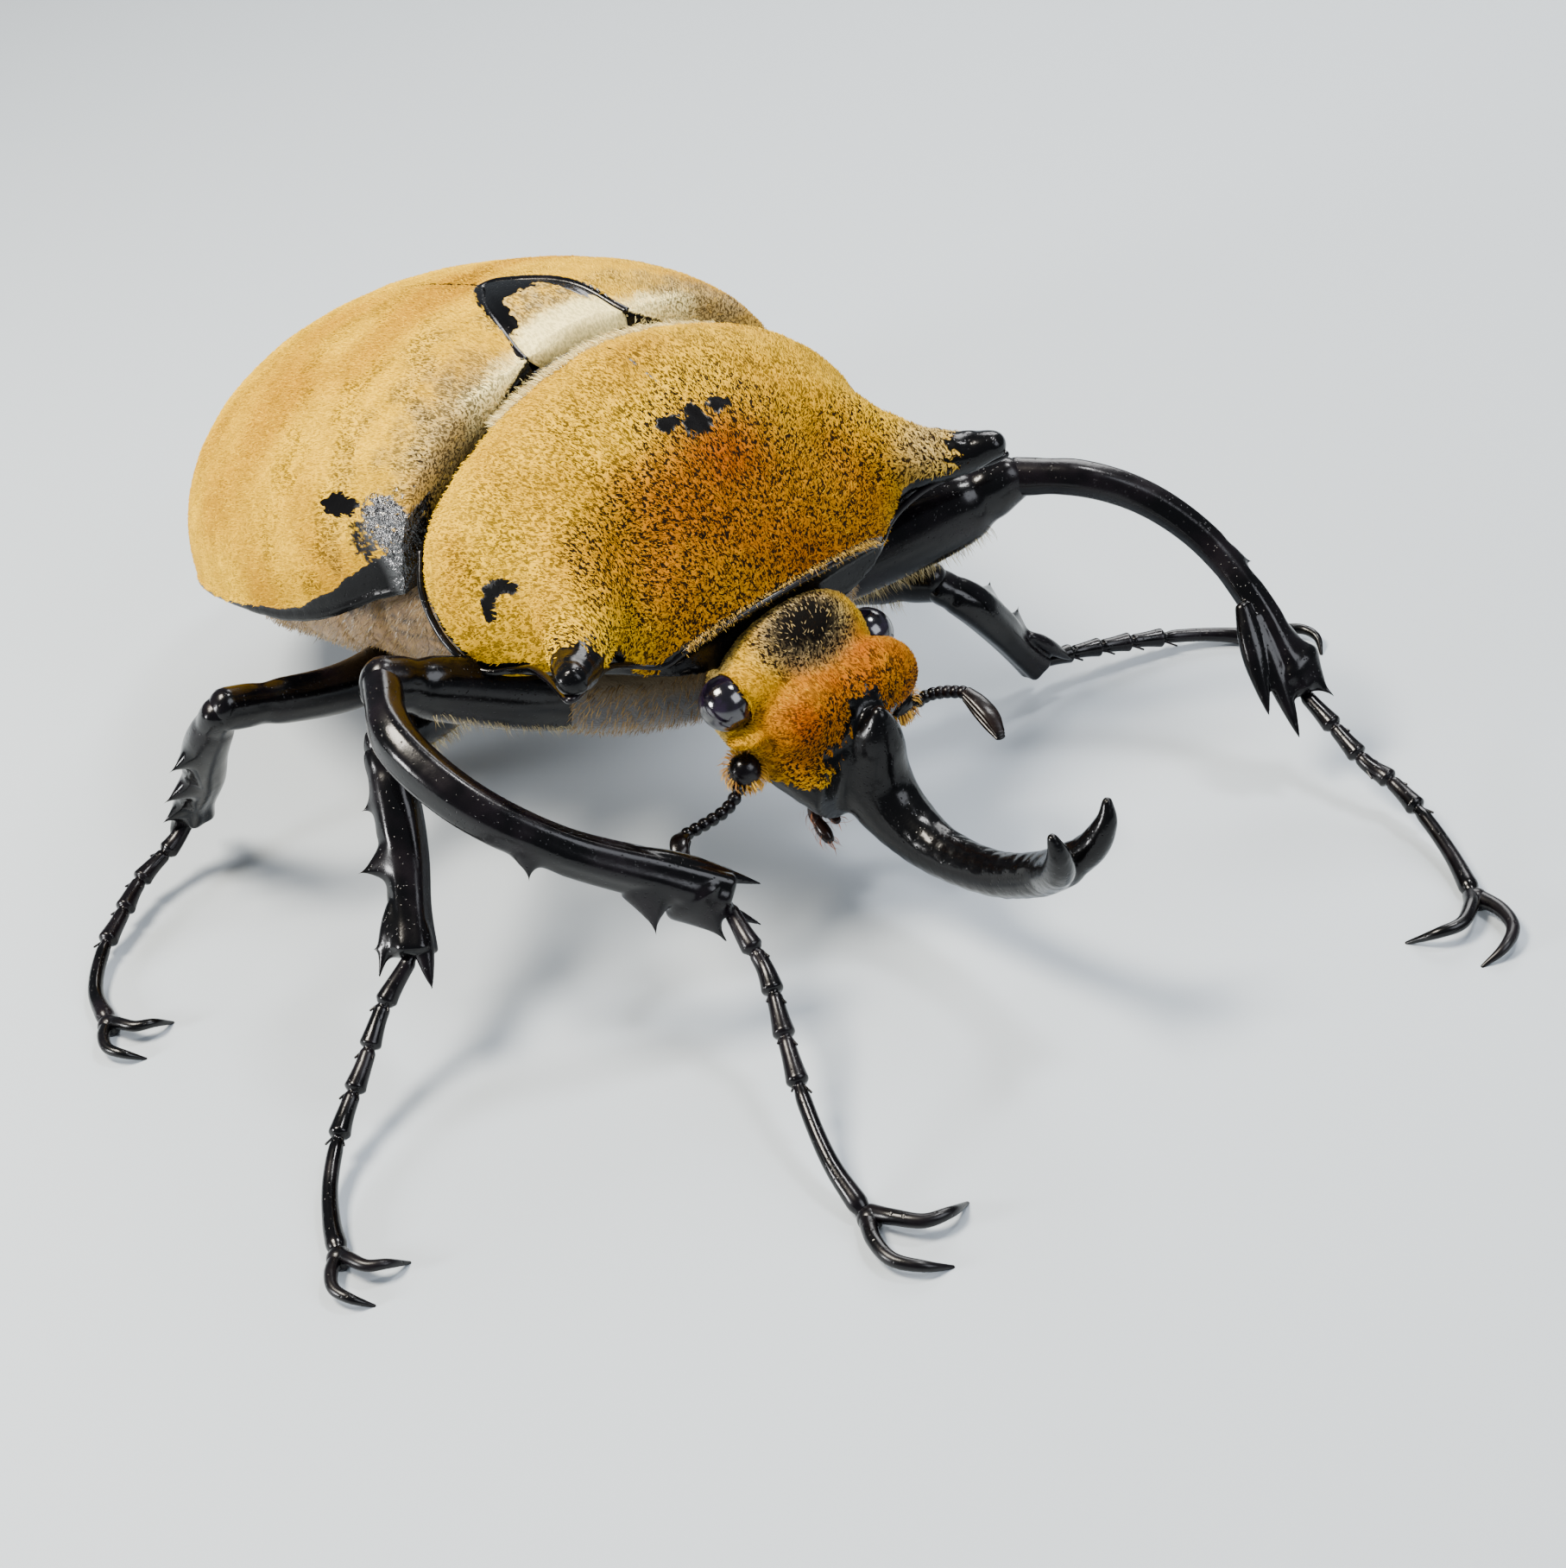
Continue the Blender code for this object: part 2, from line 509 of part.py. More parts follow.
def build_mouth():
    """Upper lip, jaws and the two pairs of palps under the head."""
    mouth = ball("mouthparts", (0, -24.6, -31.8), (3.8, 2.9, 2.4), 6, 9)
    pieces = []
    for side in (-1, 1):
        rows = [(side * 2.4, -26.0, -31.6, 0.7, 0.7), (side * 3.3, -26.4, -34.2, 0.55, 0.55),
                (side * 3.6, -28.2, -35.6, 0.6, 0.6)]
        pieces.append(limb("palp", rows, up=(1, 0, 0), count=4, sides=6))
        rows = [(side * 1.1, -25.0, -32.2, 0.55, 0.55), (side * 1.4, -25.3, -34.6, 0.45, 0.45),
                (side * 1.5, -26.8, -35.6, 0.5, 0.5)]
        pieces.append(limb("palp", rows, up=(1, 0, 0), count=4, sides=6))
    return join(mouth, pieces)


def build_antenna(word, rows, club):
    """Ball-like first joint, beaded stalk and the leaved club as a second node."""
    root = rows[0]
    stalk = limb(f"antenna_{word}", [(*p, 0.42, 0.42) for p in rows], count=7, sides=6)
    pieces = [ball("scape", root, (1.5, 1.45, 1.4), 6, 8)]
    beads = smooth_path(rows, 8)[3:-1]
    for bead in beads:
        pieces.append(ball("bead", bead, (0.6, 0.6, 0.6), 4, 6))
    join(stalk, pieces)
    leaves = limb(f"antenna_club_{word}", club, count=8, sides=8)
    return stalk, clear_of(leaves, stalk)


def build_trunk():
    """Fore breast, hind breast and belly under the shields."""
    fore_rows = [(-19.5, -22.6, 7.4, 3.6), (-17, -23.0, 11.0, 4.6), (-12, -23.4, 15.5, 5.6),
                 (-7, -23.2, 16.8, 6.0), (-3.2, -22.0, 15.0, 6.4)]
    hind_rows = [(-1.6, -17.5, 17.0, 10.4), (4, -18.4, 18.6, 11.0), (12, -21.0, 20.2, 10.2),
                 (20, -23.4, 20.5, 9.2), (23.4, -24.4, 20.4, 8.8)]
    belly_rows = [(24.1, -24.6, 20.4, 8.6), (30, -26.2, 20.2, 8.6), (37, -28.2, 18.8, 8.2), (44, -30.6, 15.4, 6.8),
                  (49, -32.2, 11.4, 5.0), (52.4, -33.2, 7.4, 3.4), (54.2, -33.8, 3.6, 1.8)]
    made = []
    for name, rows, count in (("fore_breast", fore_rows, 7), ("hind_breast", hind_rows, 8),
                              ("abdomen", belly_rows, 11)):
        path = smooth_path([(0, *row) for row in rows], count)
        angle = np.linspace(0, 2 * math.pi, 22, endpoint=False)
        rings = []
        for _, y, z, w, h in path:
            across, rise = np.cos(angle), np.sin(angle)
            across = np.sign(across) * np.abs(across) ** TRUNK_SQUARE
            rise = np.sign(rise) * np.abs(rise) ** TRUNK_SQUARE
            rings.append(np.column_stack([w * across, np.full_like(angle, y), z + h * rise]))
        made.append(loft(name, rings))
    for word, (across, y, z), size in COXAE:
        bumps = [ball("coxa", (side * across, y, z), size, 6, 9) for side in (-1, 1)]
        join(made[0] if word == "fore" else made[1], bumps)
    return made


def build_scutellum():
    """Triangular plate that fills the notch between the elytra and follows their dome."""
    half, front = SCUTELLUM_BASE
    rings = []
    for y in np.linspace(front, SCUTELLUM_APEX, 9):
        share = (y - front) / (SCUTELLUM_APEX - front)
        reach = half * (1 - share) ** 0.8 * (1 + 0.5 * share) + 0.25
        x = reach * np.linspace(-1, 1, 9)
        top = ELYTRA_RIM + elytra_top(x * 0, y) - 0.02 * x**2 + SCUTELLUM_PROUD * (1 - share) + 0.1
        upper = np.column_stack([x, np.full_like(x, y), top])
        lower = np.column_stack([x[::-1], np.full_like(x, y), top.min() - 2.6 + 0 * x])
        rings.append(turned(np.vstack([upper, lower[[0, 4, 8]]]), ELYTRA_TILT))
    return loft("scutellum", rings)


def build_leg(name, leg):
    """One leg: thigh, toothed shin, five-jointed foot and its pair of claws."""
    side = 1 if leg["thigh"][0][0] > 0 else -1
    thigh = [(x, y, z, r * 0.82, r * 1.08) for x, y, z, r in leg["thigh"]]
    femur = limb(f"{name}_femur", thigh, count=8, sides=10)

    rows = [(x, y, z, r, r * 0.86) for x, y, z, r in leg["shin"]]
    path = smooth_path(rows, 41)
    chord = path[-1, :3] - path[0, :3]
    outward = table(leg["teeth"]).mean(axis=0) - path[26, :3]
    flat = np.cross(chord, outward)
    tibia = limb(f"{name}_tibia", rows, up=tuple(flat), count=11, sides=9)
    pieces = []
    for tip in leg["teeth"]:
        near = int(np.argmin(np.linalg.norm(path[:-2, :3] - tip, axis=1)))
        root = path[max(near - TOOTH_LEAN, 0)]
        pieces.append(spine("tooth", root[:3], tip, TOOTH_ROOT, 7))
    for tip in leg["spurs"]:
        start = path[-5, :3] + (table(tip) - path[-5, :3]) * 0.1
        pieces.append(spine("spur", start, tip, SPUR_ROOT, 6))
    join(tibia, pieces)
    clear_of(tibia, femur)

    rows = [(*p, FOOT_RADIUS, FOOT_RADIUS) for p in leg["foot"]]
    tarsus = limb(f"{name}_tarsus", rows, up=(side, 0, 1), count=12, sides=7)
    path = smooth_path(rows, 61)
    pieces = []
    for share in FOOT_JOINTS:
        at = path[int(share * 60), :3]
        step = path[int(share * 60) + 2, :3] - at
        step /= np.linalg.norm(step)
        flare = [(*(at - step * 2.0), 0.6, 0.6), (*(at - step * 0.9), 0.95, 0.9), (*at, 1.12, 1.05)]
        pieces.append(limb("flare", flare, up=(side, 0, 1), count=3, sides=6))
        for turn in (-1, 1):
            tip = at + step * 1.3 + [turn * 0.9, turn * 0.9, -0.3]
            pieces.append(spine("bristle", at - step * 0.5, tip, 0.36, 4))
    join(tarsus, pieces, "EXACT")
    clear_of(tarsus, tibia)

    size = leg["claw"]
    foot = table(leg["foot"][-1])
    ahead = foot - leg["foot"][-2]
    ahead[2] = 0
    ahead /= np.linalg.norm(ahead)
    inward = np.array([-ahead[1], ahead[0], 0]) * -side
    claws = ball(f"{name}_claws", foot + ahead * 0.9 * size, (1.05, 1.05, 1.0), 5, 6)
    pieces = []
    for claw in CLAWS:
        rows = []
        for forth, across, rise, radius in claw:
            point = foot + (ahead * forth + inward * across) * size + [0, 0, rise]
            rows.append((*point, radius * (0.5 + 0.5 * size), radius * (0.5 + 0.5 * size)))
        pieces.append(limb("claw", rows, count=8, sides=5))
    join(claws, pieces)
    clear_of(claws, tarsus)
    for part in (tibia, tarsus, claws):
        thin_out(part)
    flatten(claws)
    flatten(tarsus)
    return femur, tibia, tarsus, claws


FINISHES = {
    "velvet": ((0.62, 0.33, 0.06), 0.9),
    "cuticle": ((0.012, 0.009, 0.012), 0.22),
    "pale": ((0.42, 0.3, 0.14), 0.8),
    "eye": ((0.015, 0.01, 0.02), 0.12),
}


def finish_of(name):
    if name.startswith("elytron") or name in ("pronotum", "head", "scutellum"):
        return "velvet"
    if name.startswith("eye"):
        return "eye"
    if name in ("abdomen", "hind_breast", "fore_breast"):
        return "pale"
    return "cuticle"


def dress(made):
    colour, roughness = FINISHES[finish_of(made.name)]
    material = bpy.data.materials.new(made.name)
    material.use_nodes = True
    shader = material.node_tree.nodes["Principled BSDF"]
    shader.inputs["Base Color"].default_value = (*colour, 1)
    shader.inputs["Roughness"].default_value = roughness
    made.data.materials.clear()
    made.data.materials.append(material)
    made.data.shade_smooth()


def main():
    for old in list(bpy.data.objects):
        bpy.data.objects.remove(old)
    pronotum = build_pronotum()
    horn_tips = build_horns(pronotum)
    head = build_head()
    clear_of(head, pronotum)
    eyes = []
    for side, word in ((-1, "right"), (1, "left")):
        centre = rolled([(side * EYE_CENTRE[0], EYE_CENTRE[1], EYE_CENTRE[2])])[0]
        eyes.append(ball(f"eye_{word}", centre, (EYE_RADIUS,) * 3, 8, 12))
    clear_of(head, *eyes)
    horn = clear_of(build_head_horn(), head)
    mouth = clear_of(build_mouth(), head, horn)

    right_stalk = [(-8.9, -25.6, -26.8), (-10.3, -26.0, -28.2), (-11.8, -26.2, -28.9), (-13.8, -26.0, -29.2),
                   (-15.6, -25.9, -29.2)]
    right_club = [(-16.0, -26.0, -29.3, 0.6, 0.7), (-16.8, -26.4, -29.4, 0.8, 1.1), (-17.4, -27.2, -29.8, 0.8, 1.1),
                  (-17.5, -28.0, -30.4, 0.5, 0.6)]
    left_stalk = [(6.6, -26.6, -28.2), (7.8, -27.3, -28.7), (9.2, -27.6, -28.5), (10.2, -28.8, -28.2),
                  (10.9, -30.0, -28.1)]
    left_club = [(11.0, -30.4, -28.2, 0.6, 0.7), (11.0, -31.8, -28.8, 0.8, 1.1), (10.8, -33.4, -29.4, 0.8, 1.1),
                 (10.4, -34.7, -30.0, 0.5, 0.6)]
    antennae = []
    for word, stalk, club in (("right", right_stalk, right_club), ("left", left_stalk, left_club)):
        beaded, leaved = build_antenna(word, stalk, club)
        clear_of(beaded, head, mouth)
        antennae += [beaded, leaved]

    scutellum = build_scutellum()
    clear_of(scutellum, pronotum)
    elytra = [build_elytron("elytron_right", -1), build_elytron("elytron_left", 1)]
    for elytron in elytra:
        clear_of(elytron, pronotum, scutellum)
    fore_breast, hind_breast, abdomen = build_trunk()
    clear_of(fore_breast, pronotum, head)
    clear_of(hind_breast, pronotum, scutellum, *elytra, fore_breast)
    clear_of(abdomen, *elytra, hind_breast)

    for made in (head, horn, mouth, antennae[0], antennae[2], pronotum, fore_breast, hind_breast):
        thin_out(made)

    legs = []
    for name, leg in LEGS.items():
        pieces = build_leg(name, leg)
        clear_of(pieces[0], fore_breast, hind_breast, pronotum)
        legs += pieces

    parts = [pronotum, *horn_tips, head, *eyes, horn, mouth, *antennae, scutellum, *elytra, fore_breast,
             hind_breast, abdomen, *legs]
    model = bpy.data.collections.new(OBJECT_NAME)
    bpy.context.scene.collection.children.link(model)
    for made in parts:
        dress(made)
        model.objects.link(made)
        bpy.context.scene.collection.objects.unlink(made)


main()
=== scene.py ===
"""Looks of the male elephant beetle: velvet shields, polished black limbs and horns, and a soft studio.

All sizes are millimetres in the beetle's own frame until place() turns them into metres: the datum is the
middle of the fore shield's hind edge, +X is the beetle's left, -Y is forward and +Z is up.
"""

import logging
import math
from dataclasses import dataclass, field
from enum import Enum
from typing import Callable

import bpy
import numpy as np
from mathutils import Matrix, Vector


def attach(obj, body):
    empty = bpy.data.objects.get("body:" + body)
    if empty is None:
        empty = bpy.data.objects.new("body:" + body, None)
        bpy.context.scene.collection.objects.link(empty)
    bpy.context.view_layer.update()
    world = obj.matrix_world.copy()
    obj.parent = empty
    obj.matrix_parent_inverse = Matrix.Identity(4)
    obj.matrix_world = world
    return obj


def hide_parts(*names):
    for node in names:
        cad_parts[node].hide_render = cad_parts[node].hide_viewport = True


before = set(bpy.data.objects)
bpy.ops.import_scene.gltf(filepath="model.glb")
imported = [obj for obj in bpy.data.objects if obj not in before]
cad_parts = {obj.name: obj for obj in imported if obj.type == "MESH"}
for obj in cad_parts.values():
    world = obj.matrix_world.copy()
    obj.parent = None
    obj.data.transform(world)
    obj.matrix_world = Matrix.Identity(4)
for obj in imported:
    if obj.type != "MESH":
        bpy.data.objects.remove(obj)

LOG = logging.getLogger("beetle")
MM = 0.001
FLOOR_DROP = 43.6
BOX_MIDDLE = (-2.18, -9.4)
FAR = 99.0
EYE_AT = (8.6, -24.2, -21.1)
HEAD_ROLL = 9.0
HEAD_TURN = 0.1
HEAD_NARROW = 0.9
HEAD_PIVOT = (-8.6, -21.1)
BLADE_CORNERS = np.array([0, 1, 2, 3, 3, 2, 4])
BLADE_PATCH = np.array([[0, 0], [1, 0], [1, 0.5], [0, 0.5], [0, 0.5], [1, 0.5], [0.5, 1]]) * 0.003
Points = np.ndarray
Marks = dict[str, np.ndarray]
Marker = Callable[[Points], Marks]
Mover = Callable[[Points], Points]
Weight = Callable[[Points], np.ndarray]
Keeper = Callable[[Points, Points], np.ndarray]
Piece = bpy.types.Object
Finish = bpy.types.Material
Socket = bpy.types.NodeSocket
norm = np.linalg.norm


class Side(Enum):
    """Side of the body, with the sign of X on it."""

    RIGHT = -1
    LEFT = 1

    @property
    def word(self) -> str:
        """Lower-case name used in node names."""
        return self.name.lower()


def place(points: Points) -> Points:
    """Beetle-frame millimetres to metres over the floor.

    Args:
        points: rows of x, y, z in millimetres.

    Returns:
        The same rows in metres, (p - (bx, by, -drop)) / 1000.
    """
    return (np.asarray(points, float) - [BOX_MIDDLE[0], BOX_MIDDLE[1], -FLOOR_DROP]) * MM


def turned(points: Points, degrees: float) -> Points:
    """Points turned about the X axis through the datum, rear end down.

    Args:
        points: array whose last axis is x, y, z.
        degrees: angle of the turn.

    Returns:
        (x, y cos a + z sin a, z cos a - y sin a).
    """
    a = math.radians(degrees)
    x, y, z = np.moveaxis(np.asarray(points, float), -1, 0)
    return np.stack([x, y * math.cos(a) + z * math.sin(a), z * math.cos(a) - y * math.sin(a)], axis=-1)


def step(low: float, high: float, value: np.ndarray) -> np.ndarray:
    """Smooth step, 3 t^2 - 2 t^3 with t = (value - low) / (high - low) held to 0..1."""
    t = np.clip((value - low) / (high - low), 0, 1)
    return t * t * (3 - 2 * t)


def bell(value: np.ndarray, width: float) -> np.ndarray:
    """exp(-(v / w)^2), 1 at 0 and fading over the width w."""
    return np.exp(-(value / width) ** 2)


def xyz(points: Points) -> np.ndarray:
    """The three coordinates of points as arrays."""
    return np.moveaxis(points, -1, 0)


def mirrored(points: Points) -> Points:
    """Points with x made positive, so that one formula serves both sides."""
    x, y, z = xyz(points)
    return np.stack([np.abs(x), y, z], axis=-1)


def signed_power(value: np.ndarray, power: float) -> np.ndarray:
    """sign(v) |v|^p, the coordinate of a superellipse."""
    return np.sign(value) * np.abs(value) ** power


def leaf_reach(half: float, share: np.ndarray) -> np.ndarray:
    """Half width of the scutellum's leaf at a share of its length, h (1 - s)^0.8 (1 + s / 2)."""
    return half * (1 - share) ** 0.8 * (1 + 0.5 * share)


def distance(points: Points, spots: Points) -> np.ndarray:
    """Distance to the nearest of some spots."""
    best = np.full(points.shape[:-1], FAR)
    for spot in spots:
        best = np.minimum(best, norm(points - spot, axis=-1))
    return best


def blob(points: Points, centre: tuple, radii: tuple, soft: float = 0.35) -> np.ndarray:
    """1 inside an ellipsoid and 0 outside, with an edge as wide as soft times its radii."""
    d = norm((points - np.array(centre)) / np.array(radii), axis=-1)
    return 1 - step(1 - soft, 1 + soft, d)


def stroke(points: Points, line: tuple, radius: float) -> np.ndarray:
    """Distance to a line of points over the radius, less 1, so that it is negative on the stroke."""
    line = np.array(line, float)
    best = np.full(points.shape[:-1], FAR)
    for a, b in zip(line[:-1], line[1:]):
        span = b - a
        share = np.clip(((points - a) @ span) / (span @ span), 0, 1)
        best = np.minimum(best, norm(points - a - share[..., None] * span, axis=-1))
    return best / radius - 1


def ripple(points: Points, size: float, seed: int, waves: int = 9) -> np.ndarray:
    """Smooth seeded variation of about -1..1, the mean of sines along random directions.

    Args:
        points: positions in millimetres.
        size: typical distance between bumps in millimetres.
        seed: seed of the directions.
        waves: number of sines.

    Returns:
        sum sin(2 pi k.p / size + phase) * sqrt(2 / waves).
    """
    rng = np.random.default_rng(seed)
    total = np.zeros(points.shape[:-1])
    for _ in range(waves):
        k = rng.normal(size=3)
        k *= rng.uniform(0.6, 1.5) / norm(k)
        total += np.sin(2 * math.pi * (points @ k) / size + rng.uniform(0, 2 * math.pi))
    return total * math.sqrt(2 / waves) * 0.6


def smooth_path(rows: list, count: int) -> Points:
    """Rows read evenly, by the length of their first three columns, from a Catmull-Rom curve."""
    rows = np.array(rows, float)
    ends = np.vstack([2 * rows[0] - rows[1], rows, 2 * rows[-1] - rows[-2]])
    t = np.linspace(0, 1, 25)[:-1, None]
    spans = []
    for a, b, c, d in zip(ends[:-3], ends[1:-2], ends[2:-1], ends[3:]):
        spans.append(0.5 * (2 * b + (c - a) * t + (2 * a - 5 * b + 4 * c - d) * t**2
                            + (3 * b - a - 3 * c + d) * t**3))
    fine = np.vstack(spans + [rows[-1:]])
    steps = norm(np.diff(fine[:, :3], axis=0), axis=1)
    length = np.concatenate([[0], np.cumsum(steps)])
    even = np.linspace(0, length[-1], count)
    return np.column_stack([np.interp(even, length, column) for column in fine.T])


@dataclass
class Skin:
    """A closed surface, points[along, around] in millimetres, with both end rows capped on their middles."""

    points: Points

    def parts(self) -> tuple[Points, list, np.ndarray]:
        """Vertices, faces and a UV for each vertex, the caps' middles last."""
        n, m, _ = self.points.shape
        verts = self.points.reshape(-1, 3)
        i, j = np.meshgrid(np.arange(n - 1), np.arange(m), indexing="ij")
        k = (j + 1) % m
        quads = np.stack([i * m + j, i * m + k, (i + 1) * m + k, (i + 1) * m + j], axis=-1).reshape(-1, 4)
        faces = quads.tolist()
        u, v = np.meshgrid(np.linspace(0.02, 0.98, n), np.linspace(0.02, 0.98, m), indexing="ij")
        uv = np.stack([u, v], axis=-1).reshape(-1, 2)
        for row, turn in ((0, -1), (n - 1, 1)):
            middle = len(verts)
            verts = np.vstack([verts, self.points[row].mean(axis=0)])
            uv = np.vstack([uv, uv[row * m:(row + 1) * m].mean(axis=0)])
            for a in range(m):
                faces.append([row * m + a, row * m + (a + 1) % m][::turn] + [middle])
        return verts, faces, uv


def volume_sign(verts: Points, faces: list) -> float:
    """Sign of the volume that the faces enclose, positive where they look outward."""
    tri = np.array([face[:3] for face in faces])
    extra = np.array([[f[0], f[2], f[3]] for f in faces if len(f) == 4])
    tri = np.vstack([tri, extra]) if len(extra) else tri
    p = verts - verts.mean(axis=0)
    return float(np.sign(np.einsum("ij,ij->i", p[tri[:, 0]], np.cross(p[tri[:, 1]], p[tri[:, 2]])).sum()))


def link(name: str, mesh: bpy.types.Mesh) -> Piece:
    """A smooth-shaded object of the mesh at the origin."""
    mesh.shade_smooth()
    made = bpy.data.objects.new(name, mesh)
    bpy.context.scene.collection.objects.link(made)
    return made


def set_marks(mesh: bpy.types.Mesh, marks: Marks) -> None:
    """Stores each mark as a float value on the vertices."""
    for key, value in marks.items():
        layer = mesh.attributes.new(key, "FLOAT", "POINT")
        layer.data.foreach_set("value", np.asarray(value, np.float32).ravel())


def read(rows: bpy.types.bpy_prop_collection, key: str, width: int = 1, kind: type = float) -> np.ndarray:
    """Values of a mesh's rows, with a column for each part where there are more."""
    flat = np.empty(len(rows) * width, kind)
    rows.foreach_get(key, flat)
    return flat.reshape(-1, width) if width > 1 else flat


def set_uv(mesh: bpy.types.Mesh, uv: np.ndarray) -> None:
    """Gives the mesh its UV map from one value per vertex."""
    corner = read(mesh.loops, "vertex_index", kind=int)
    mesh.uv_layers.new(name="UVMap").data.foreach_set("uv", uv[corner].ravel())


def points_of(made: Piece) -> Points:
    """Vertices of a mesh object in beetle-frame millimetres."""
    return read(made.data.vertices, "co", 3) / MM + [BOX_MIDDLE[0], BOX_MIDDLE[1], -FLOOR_DROP]


def make_mesh(name: str, skins: list, values: Marker | None = None) -> Piece:
    """One object from skins, with a UV map and one value per vertex for each mark.

    Args:
        name: the object's name.
        skins: the surfaces to put in it.
        values: gives the marks from positions in millimetres.

    Returns:
        The object at the origin, smooth shaded, its faces outward.
    """
    verts, faces, uvs = [], [], []
    start = 0
    for skin in skins:
        v, f, uv = skin.parts()
        if volume_sign(v, f) < 0:
            f = [face[::-1] for face in f]
        verts.append(v)
        uvs.append(uv)
        faces += [[c + start for c in face] for face in f]
        start += len(v)
    points = np.vstack(verts)
    mesh = bpy.data.meshes.new(name)
    mesh.from_pydata(place(points).tolist(), [], faces)
    set_uv(mesh, np.vstack(uvs))
    set_marks(mesh, values(points) if values else {})
    return link(name, mesh)


def make_blades(name: str, five: Points, spot: np.ndarray, marks: Marks) -> Piece:
    """One object of thin blades, each a quad from its root to its bend and a triangle to its tip.

    Args:
        name: the object's name.
        five: the points of each blade, two at the root, two at the bend and the tip.
        spot: where each blade sits in the UV map.
        marks: one value per blade for each mark.

    Returns:
        The object with its UV map, OFBake.
    """
    count = len(five)
    mesh = bpy.data.meshes.new(name)
    mesh.vertices.add(count * 5)
    mesh.vertices.foreach_set("co", place(five.reshape(-1, 3)).ravel())
    mesh.loops.add(count * 7)
    mesh.loops.foreach_set("vertex_index", (np.arange(count)[:, None] * 5 + BLADE_CORNERS).ravel())
    mesh.polygons.add(count * 2)
    mesh.polygons.foreach_set("loop_start", (np.arange(count)[:, None] * 7 + np.array([0, 4])).ravel())
    mesh.update(calc_edges=True)
    layer = mesh.uv_layers.new(name="OFBake")
    layer.data.foreach_set("uv", (spot[:, None] * 0.99 + BLADE_PATCH[None]).ravel())
    set_marks(mesh, {key: np.repeat(value, 5) for key, value in marks.items()})
    return link(name, mesh)


def bare_below(made: Piece, ahead_of: float, low: float = -0.45, high: float = -0.15) -> None:
    """Bares the shell where it faces down in front of a place along the body, and dulls it over the neck.

    Args:
        made: the piece, with bare and dull marks.
        ahead_of: only where y is less than this, in millimetres.
        low: height of the normal that is wholly bare.
        high: height of the normal that keeps its down.
    """
    marks = made.data.attributes
    x, y, _ = points_of(made).T
    down = step(high, low, read(made.data.vertices, "normal", 3)[:, 2]) * (y < ahead_of)
    matte = 0.7 * down * step(-15.5, -17.5, y) * step(15.0, 12.5, np.abs(x))
    for key, value in (("bare", down), ("dull", matte)):
        layer = marks[key].data
        layer.foreach_set("value", np.maximum(read(layer, "value"), value).astype(np.float32))


def relax(mesh: bpy.types.Mesh, points: Points, weight: np.ndarray, rounds: int) -> Points:
    """Evens out a net where its weight is high, so that joins turn into flares.

    Args:
        mesh: gives the edges.
        points: positions in millimetres.
        weight: share of each round's move, 0 to 1.
        rounds: number of rounds.

    Returns:
        The points after p + 0.5 weight (mean of the neighbours - p) in each round.
    """
    a, b = read(mesh.edges, "vertices", 2, int).T
    used = (weight[a] > 0) | (weight[b] > 0)
    a, b = a[used], b[used]
    count = len(points)
    degree = np.maximum(np.bincount(a, minlength=count) + np.bincount(b, minlength=count), 1)[:, None]
    out = points.copy()
    for _ in range(rounds):
        total = np.stack([np.bincount(a, out[b, k], count) + np.bincount(b, out[a, k], count)
                          for k in range(3)], axis=1)
        out += 0.5 * weight[:, None] * (total / degree - out)
    return out


def fuse(name: str, skins: list, voxel: float, smooth: int, values: Marker, unwrap: Weight,
         shape: Mover | None = None, ease: Weight | None = None, rounds: int = 0) -> Piece:
    """Melts overlapping skins into one with soft joins.

    Args:
        name: the object's name.
        skins: surfaces that overlap.
        voxel: size of the net in millimetres.
        smooth: rounds of smoothing.
        values: gives the marks from positions.
        unwrap: gives a UV from positions.
        shape: moves the points of the melted skin.
        ease: weight of the extra evening out from positions.
        rounds: rounds of it.

    Returns:
        The object at the origin.
    """
    made = make_mesh(name, skins)
    net = made.modifiers.new("net", "REMESH")
    net.mode = "VOXEL"
    net.voxel_size = voxel * MM
    rounding = made.modifiers.new("rounding", "SMOOTH")
    rounding.iterations = smooth
    rounding.factor = 0.5
    bpy.context.view_layer.update()
    graph = bpy.context.evaluated_depsgraph_get()
    mesh = bpy.data.meshes.new_from_object(made.evaluated_get(graph))
    made.modifiers.clear()
    old = made.data
    made.data = mesh
    bpy.data.meshes.remove(old)
    mesh.name = name
    points = points_of(made)
    if ease:
        points = relax(mesh, points, ease(points), rounds)
    if shape:
        points = shape(points)
    mesh.vertices.foreach_set("co", place(points).ravel())
    for layer in list(mesh.uv_layers):
        mesh.uv_layers.remove(layer)
    set_uv(mesh, unwrap(points))
    set_marks(mesh, values(points))
    mesh.shade_smooth()
    return made


